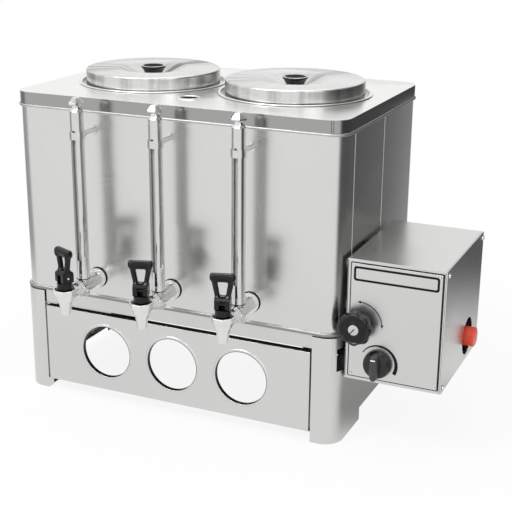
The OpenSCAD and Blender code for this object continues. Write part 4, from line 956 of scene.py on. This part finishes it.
class URN_OT_control_plate(bpy.types.Operator):
    """Label plate, the knobs and the marks printed round them."""

    bl_idname = "urn.control_plate"
    bl_label = "Control plate"

    def execute(self, context):
        soften("label_plate", "plate_metal", 0.0003)
        self.cock_knob()
        self.thermostat_knob()
        self.marks()
        return {"FINISHED"}

    def cock_knob(self):
        """Lobed knob with a ringed face, and the bright slotted disc in its middle."""
        lo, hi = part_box("cock_knob")
        cx, _, cz = middle("cock_knob")
        centre = (cx, lo[1], cz)
        big, depth = (hi[0] - lo[0]) / 2, hi[1] - lo[1]
        # Shares of the knob's radius and depth, and the lobes' share
        rows = (
            (0.16, 0.10, 0), (0.33, 0.10, 0), (0.35, 0.04, 0), (0.385, 0.02, 0), (0.425, 0.04, 0), (0.46, 0.085, 0),
            (0.6, 0.10, 0), (0.70, 0.10, 0), (0.755, 0.065, 0), (0.79, 0.02, 0), (0.83, 0.004, 0.1), (0.88, 0.02, 0.4),
            (0.935, 0.08, 0.8), (0.98, 0.165, 1), (1.0, 0.28, 1), (1.0, 0.52, 1), (0.975, 0.64, 1), (0.9, 0.7, 0.8),
            (0.77, 0.72, 0.2), (0.74, 0.75, 0), (0.5, 0.99, 0), (0.16, 0.99, 0),
        )
        rows = [(r * big, -d * depth, share) for r, d, share in rows]
        mesh = lathe("cock_knob_piece", rows, centre, True, 144, 8, 0.1, True)
        smooth(mesh, 60)
        knob = piece("cock_knob_piece", mesh, "knob_plastic", "cock_knob")
        # The face inside the ring is painted darker than the rest of the knob, a painted shade for its recess.
        face_r = 0.74 * big
        part_finish(knob, "black_plastic", lambda c, n: n[1] < -0.5 and math.hypot(c[0] - cx, c[2] - cz) < face_r)
        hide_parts("cock_knob")
        keep("chrome", "cock_stem")
        # Radius and depth of the disc, and the corners of its slot, in mm
        disc = ((0, 0.2), (7.2, 0.2), (7.8, 0.6), (7.9, 1.0), (7.9, 2.0), (0, 2.0))
        slot = ((-5.4, -5.4), (-4.2, -6.4), (2.6, 1.8), (1.5, 2.8))
        mesh = lathe("cock_disc", [(r / 1000, -d / 1000) for r, d in disc], centre, True, 64)
        piece("cock_disc", mesh, "fitting_satin", "cock_stem")
        # The slot is drawn in black, a painted shade for its depth.
        loop = [(cx + x / 1000, cz + z / 1000) for x, z in slot]
        mark("cock_slot_shade", [loop], lo[1] + 0.00014, "cock_stem", thickness=0.00012)

    def thermostat_knob(self):
        """Round skirt with a tall grip across it and a white line at the grip's end, an indicator mark that is also a
        painted highlight on that end.
        """
        lo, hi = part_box("thermostat_knob")
        cx, _, cz = middle("thermostat_knob")
        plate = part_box("label_plate")[0][1]
        big, high = (hi[0] - lo[0]) / 2, plate - lo[1]
        foot = 0.0006 / high
        # Shares of the knob's radius and height
        rows = (
            (0.21, -0.16), (0.21, foot), (0.96, foot), (1.0, 0.05), (1.0, 0.2), (0.985, 0.25), (0.92, 0.42),
            (0.89, 0.48), (0.82, 0.52), (0.5, 0.535), (0, 0.54),
        )
        bm = bmesh.new()
        bm.from_mesh(lathe("thermostat_skirt", [(r * big, d * high) for r, d in rows], (cx, plate, cz), True))
        # Share of the knob's height, and half the grip's length and width as shares of the radius
        levels = (
            (0.44, 0.95, 0.335), (0.7, 0.94, 0.31), (0.88, 0.925, 0.285), (0.955, 0.895, 0.25), (0.99, 0.84, 0.19),
            (1.0, 0.74, 0.09),
        )
        rings = []
        for d, along, across in levels:
            ring = []
            for k in range(64):
                c, s = math.cos(2 * math.pi * k / 64), math.sin(2 * math.pi * k / 64)
                x = across * big * math.copysign(abs(c) ** 0.8, c)
                z = along * big * math.copysign(abs(s) ** 0.62, s)
                ring.append(bm.verts.new((cx + x, plate - d * high, cz + z)))
            rings.append(ring)
        bar(bm, rings)
        mesh = mesh_of("thermostat_knob_piece", bm, 50)
        knob = piece("thermostat_knob_piece", mesh, "knob_plastic", "thermostat_knob")
        part_finish(knob, "grip_plastic", lambda c, n: c[1] < plate - 0.56 * high)
        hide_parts("thermostat_knob")
        # The white line is an indicator mark and a painted highlight on the grip's end.
        half, low, long = 0.0037, cz + 0.62 * big, 0.0019
        line = round_loop(cx - half, cx + half, low, low + long, 0.0006, 3)
        mark("thermostat_line", [line], lo[1] - 0.00002, "thermostat_knob", "white_ink", 0.0003)

    def marks(self):
        """Frame at the top of the plate, the arcs round the two knobs, and dark lines of painted shade round the plate
        and at the housing's folds beside it.
        """
        lo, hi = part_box("label_plate")
        y = lo[1] - 0.00008
        left, right, top = lo[0] + 0.0036, hi[0] - 0.0039, hi[2] - 0.004
        low, line = top - 0.022, 0.0033
        window = round_loop(left + line, right - line, low + line, top - line, 0.0018)
        mark("name_frame", [round_loop(left, right, low, top, 0.0042), window], y)
        cx, _, cz = middle("cock_knob")
        r, half, head, head_half = 0.0347, 0.0007, 9, 0.0021
        mark("turn_arc", [arc_loop(cx, cz, (r - half, r - half), (r + half, r + half), 90, 4)], y)
        for name, tip, sign in (("turn_arrow_open", 96, 1), ("turn_arrow_shut", -2, -1)):
            points = [polar(cx, cz, r, tip)]
            points += [polar(cx, cz, q, tip - sign * head) for q in (r + head_half, r - head_half)]
            mark(name, [points], y)
        cx, _, cz = middle("thermostat_knob")
        mark("heat_arc", [arc_loop(cx, cz, (0.0264, 0.0246), (0.0278, 0.0302), 150, -28)], y)
        # A dark frame round the plate, a painted shadow in the gap between plate and housing.
        gap = [
            round_loop(lo[0] - g, hi[0] + g, lo[2] - g, hi[2] + g, corner)
            for g, corner in ((0.0016, 0.002), (-0.0002, 0.001))
        ]
        mark("plate_gap_shade", gap, hi[1] - PRINT_SINK)
        # A dark line at each fold of the housing beside the plate, a painted shade.
        for name, x in (("left_fold_shade", lo[0] - 0.0052), ("right_fold_shade", hi[0] + 0.0022)):
            fold = upright_line(x, 0.0004, lo[2] - 0.003, hi[2] + 0.003)
            mark(name, [fold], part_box("box_housing")[0][1] - PRINT_SINK)


class URN_OT_stage(bpy.types.Operator):
    """Floor, lights, world and camera."""

    bl_idname = "urn.stage"
    bl_label = "Stage"

    def execute(self, context):
        scene = context.scene
        size = scene.urn_stage.floor_width / 2
        mesh = bpy.data.meshes.new("floor")
        mesh.from_pydata([(-size, -size, 0), (size, -size, 0), (size, size, 0), (-size, size, 0)], [], [(0, 1, 2, 3)])
        floor = bpy.data.objects.new("floor", mesh)
        scene.collection.objects.link(floor)
        floor.data.materials.append(floor_material())
        scene.world = world_light()
        # Place, aim, width, height and power
        for name, place, aim, width, height, power in (
            ("key_softbox", (-1.15, -1.75, 2.9), (0, 0, 0.25), 1.5, 1.1, 46.0),
            ("fill_softbox", (2.4, -1.8, 1.7), (0, 0, 0.25), 1.4, 1.2, 9.0),
            ("top_softbox", (0.1, 0.5, 2.6), (0, 0, 0.3), 1.8, 1.8, 14.0),
            ("strip_light", (0.5, -1.7, 2.5), (0, -0.2, 0.25), 1.0, 0.3, 10.0),
        ):
            lamp = bpy.data.lights.new(name, "AREA")
            lamp.shape, lamp.size, lamp.size_y, lamp.energy = "RECTANGLE", width, height, power
            obj = bpy.data.objects.new(name, lamp)
            obj.location = place
            obj.rotation_euler = (Vector(aim) - Vector(place)).to_track_quat("-Z", "Y").to_euler()
            scene.collection.objects.link(obj)
        camera = bpy.data.cameras.new("camera")
        camera.lens, camera.sensor_width = scene.urn_stage.lens, 36.0
        camera.clip_start, camera.clip_end = 0.05, 50
        eye = bpy.data.objects.new("camera", camera)
        eye.location = (0.6913, -1.5419, 0.7927)
        down, turn, roll = (math.radians(a) for a in (18.26, 23.97, 0.46))
        aim = Euler((math.pi / 2 - down, 0, turn)).to_matrix() @ Matrix.Rotation(roll, 3, "Z")
        eye.rotation_euler = aim.to_euler()
        scene.collection.objects.link(eye)
        scene.camera = eye
        scene.view_settings.view_transform = "Standard"
        return {"FINISHED"}


def studio_tone(s, toward, bright, dark):
    """Tone of the studio in a direction: bright in front, dark on the right."""
    return s.span(s.vector("DOT_PRODUCT", toward, STUDIO_RIGHT), bright, dark, 0.42, 0.74, True)


def floor_material():
    """Pale floor: white to the eye and in reflections, but it still takes the urn's shadow."""
    s = Shader("floor_paint")
    flat = s.vector("MULTIPLY", s.node("NewGeometry").outputs["Position"], LEVEL)
    away = s.vector("LENGTH", flat)
    from_corner = s.vector("NORMALIZE", s.vector("SUBTRACT", flat, CORNER_FOOT))
    near_tone = s.span(away, 0.90, studio_tone(s, from_corner, 0.96, 0.10), 0.45, 1.0, True)
    box_shade = s.span(s.vector("DISTANCE", flat, BOX_FOOT), 0.35, 1.0, 0.08, 0.22, True)
    from_taps = s.vector("NORMALIZE", s.vector("SUBTRACT", flat, TAPS_FOOT))
    left = s.span(s.vector("DOT_PRODUCT", from_taps, STUDIO_LEFT), 0.0, 1.0, 0.80, 0.95, True)
    far_left = s.sums("MULTIPLY", left, s.span(away, 0.0, 1.0, 0.75, 1.15, True))
    side_tone = s.sums("MULTIPLY", box_shade, s.span(far_left, 1.0, 0.42, 0.0, 1.0))
    plain = s.node("BsdfDiffuse", {"Color": (0.88, 0.88, 0.88, 1)}).outputs["BSDF"]
    return s.by_ray("Emission", plain, s.sums("MULTIPLY", near_tone, side_tone), s.span(away, 0.9, 1.0, 0.5, 1.0))


def world_light():
    """Even pale light, white to the eye, and the studio's tones in reflections."""
    s = Shader("studio", world=True)
    toward = s.node("TexCoord").outputs["Generated"]
    around = s.vector("NORMALIZE", s.vector("MULTIPLY", toward, LEVEL))
    height = s.node("SeparateXYZ", {"Vector": toward}).outputs["Z"]
    side = studio_tone(s, around, 0.98, s.span(height, 0.05, 0.42, 0.28, 0.52, True))
    ceiling = s.span(height, 1.0, 0.75, 0.45, 0.9, True)
    fill = s.node("Background", {"Color": WHITE, "Strength": 0.5}).outputs["Background"]
    return s.by_ray("Background", fill, s.sums("MULTIPLY", side, ceiling))


class URN_PT_panel(bpy.types.Panel):
    """Urn pieces and their settings."""

    bl_idname = "URN_PT_panel"
    bl_label = "Coffee urn"
    bl_space_type = "VIEW_3D"
    bl_region_type = "UI"
    bl_category = "Urn"

    def draw(self, context):
        scene = context.scene
        for group in (scene.urn_sheet, scene.urn_fittings, scene.urn_stage):
            for name in group.__annotations__:
                self.layout.prop(group, name)
        for operator in OPERATORS:
            self.layout.operator(operator.bl_idname)


OPERATORS = (
    URN_OT_tank,
    URN_OT_deck,
    URN_OT_crocks,
    URN_OT_base,
    URN_OT_burner,
    URN_OT_taps,
    URN_OT_gauges,
    URN_OT_control_box,
    URN_OT_control_plate,
    URN_OT_stage,
)
GROUPS = {"urn_sheet": UrnSheetSettings, "urn_fittings": UrnFittingSettings, "urn_stage": UrnStageSettings}


def register():
    for name, group in GROUPS.items():
        bpy.utils.register_class(group)
        setattr(bpy.types.Scene, name, bpy.props.PointerProperty(type=group))
    for c in (*OPERATORS, URN_PT_panel):
        bpy.utils.register_class(c)


def unregister():
    for c in reversed((*OPERATORS, URN_PT_panel)):
        bpy.utils.unregister_class(c)
    for name, group in GROUPS.items():
        delattr(bpy.types.Scene, name)
        bpy.utils.unregister_class(group)


def main():
    register()
    for operator in OPERATORS:
        getattr(bpy.ops.urn, operator.bl_idname.split(".")[1])()


if __name__ == "__main__":
    main()
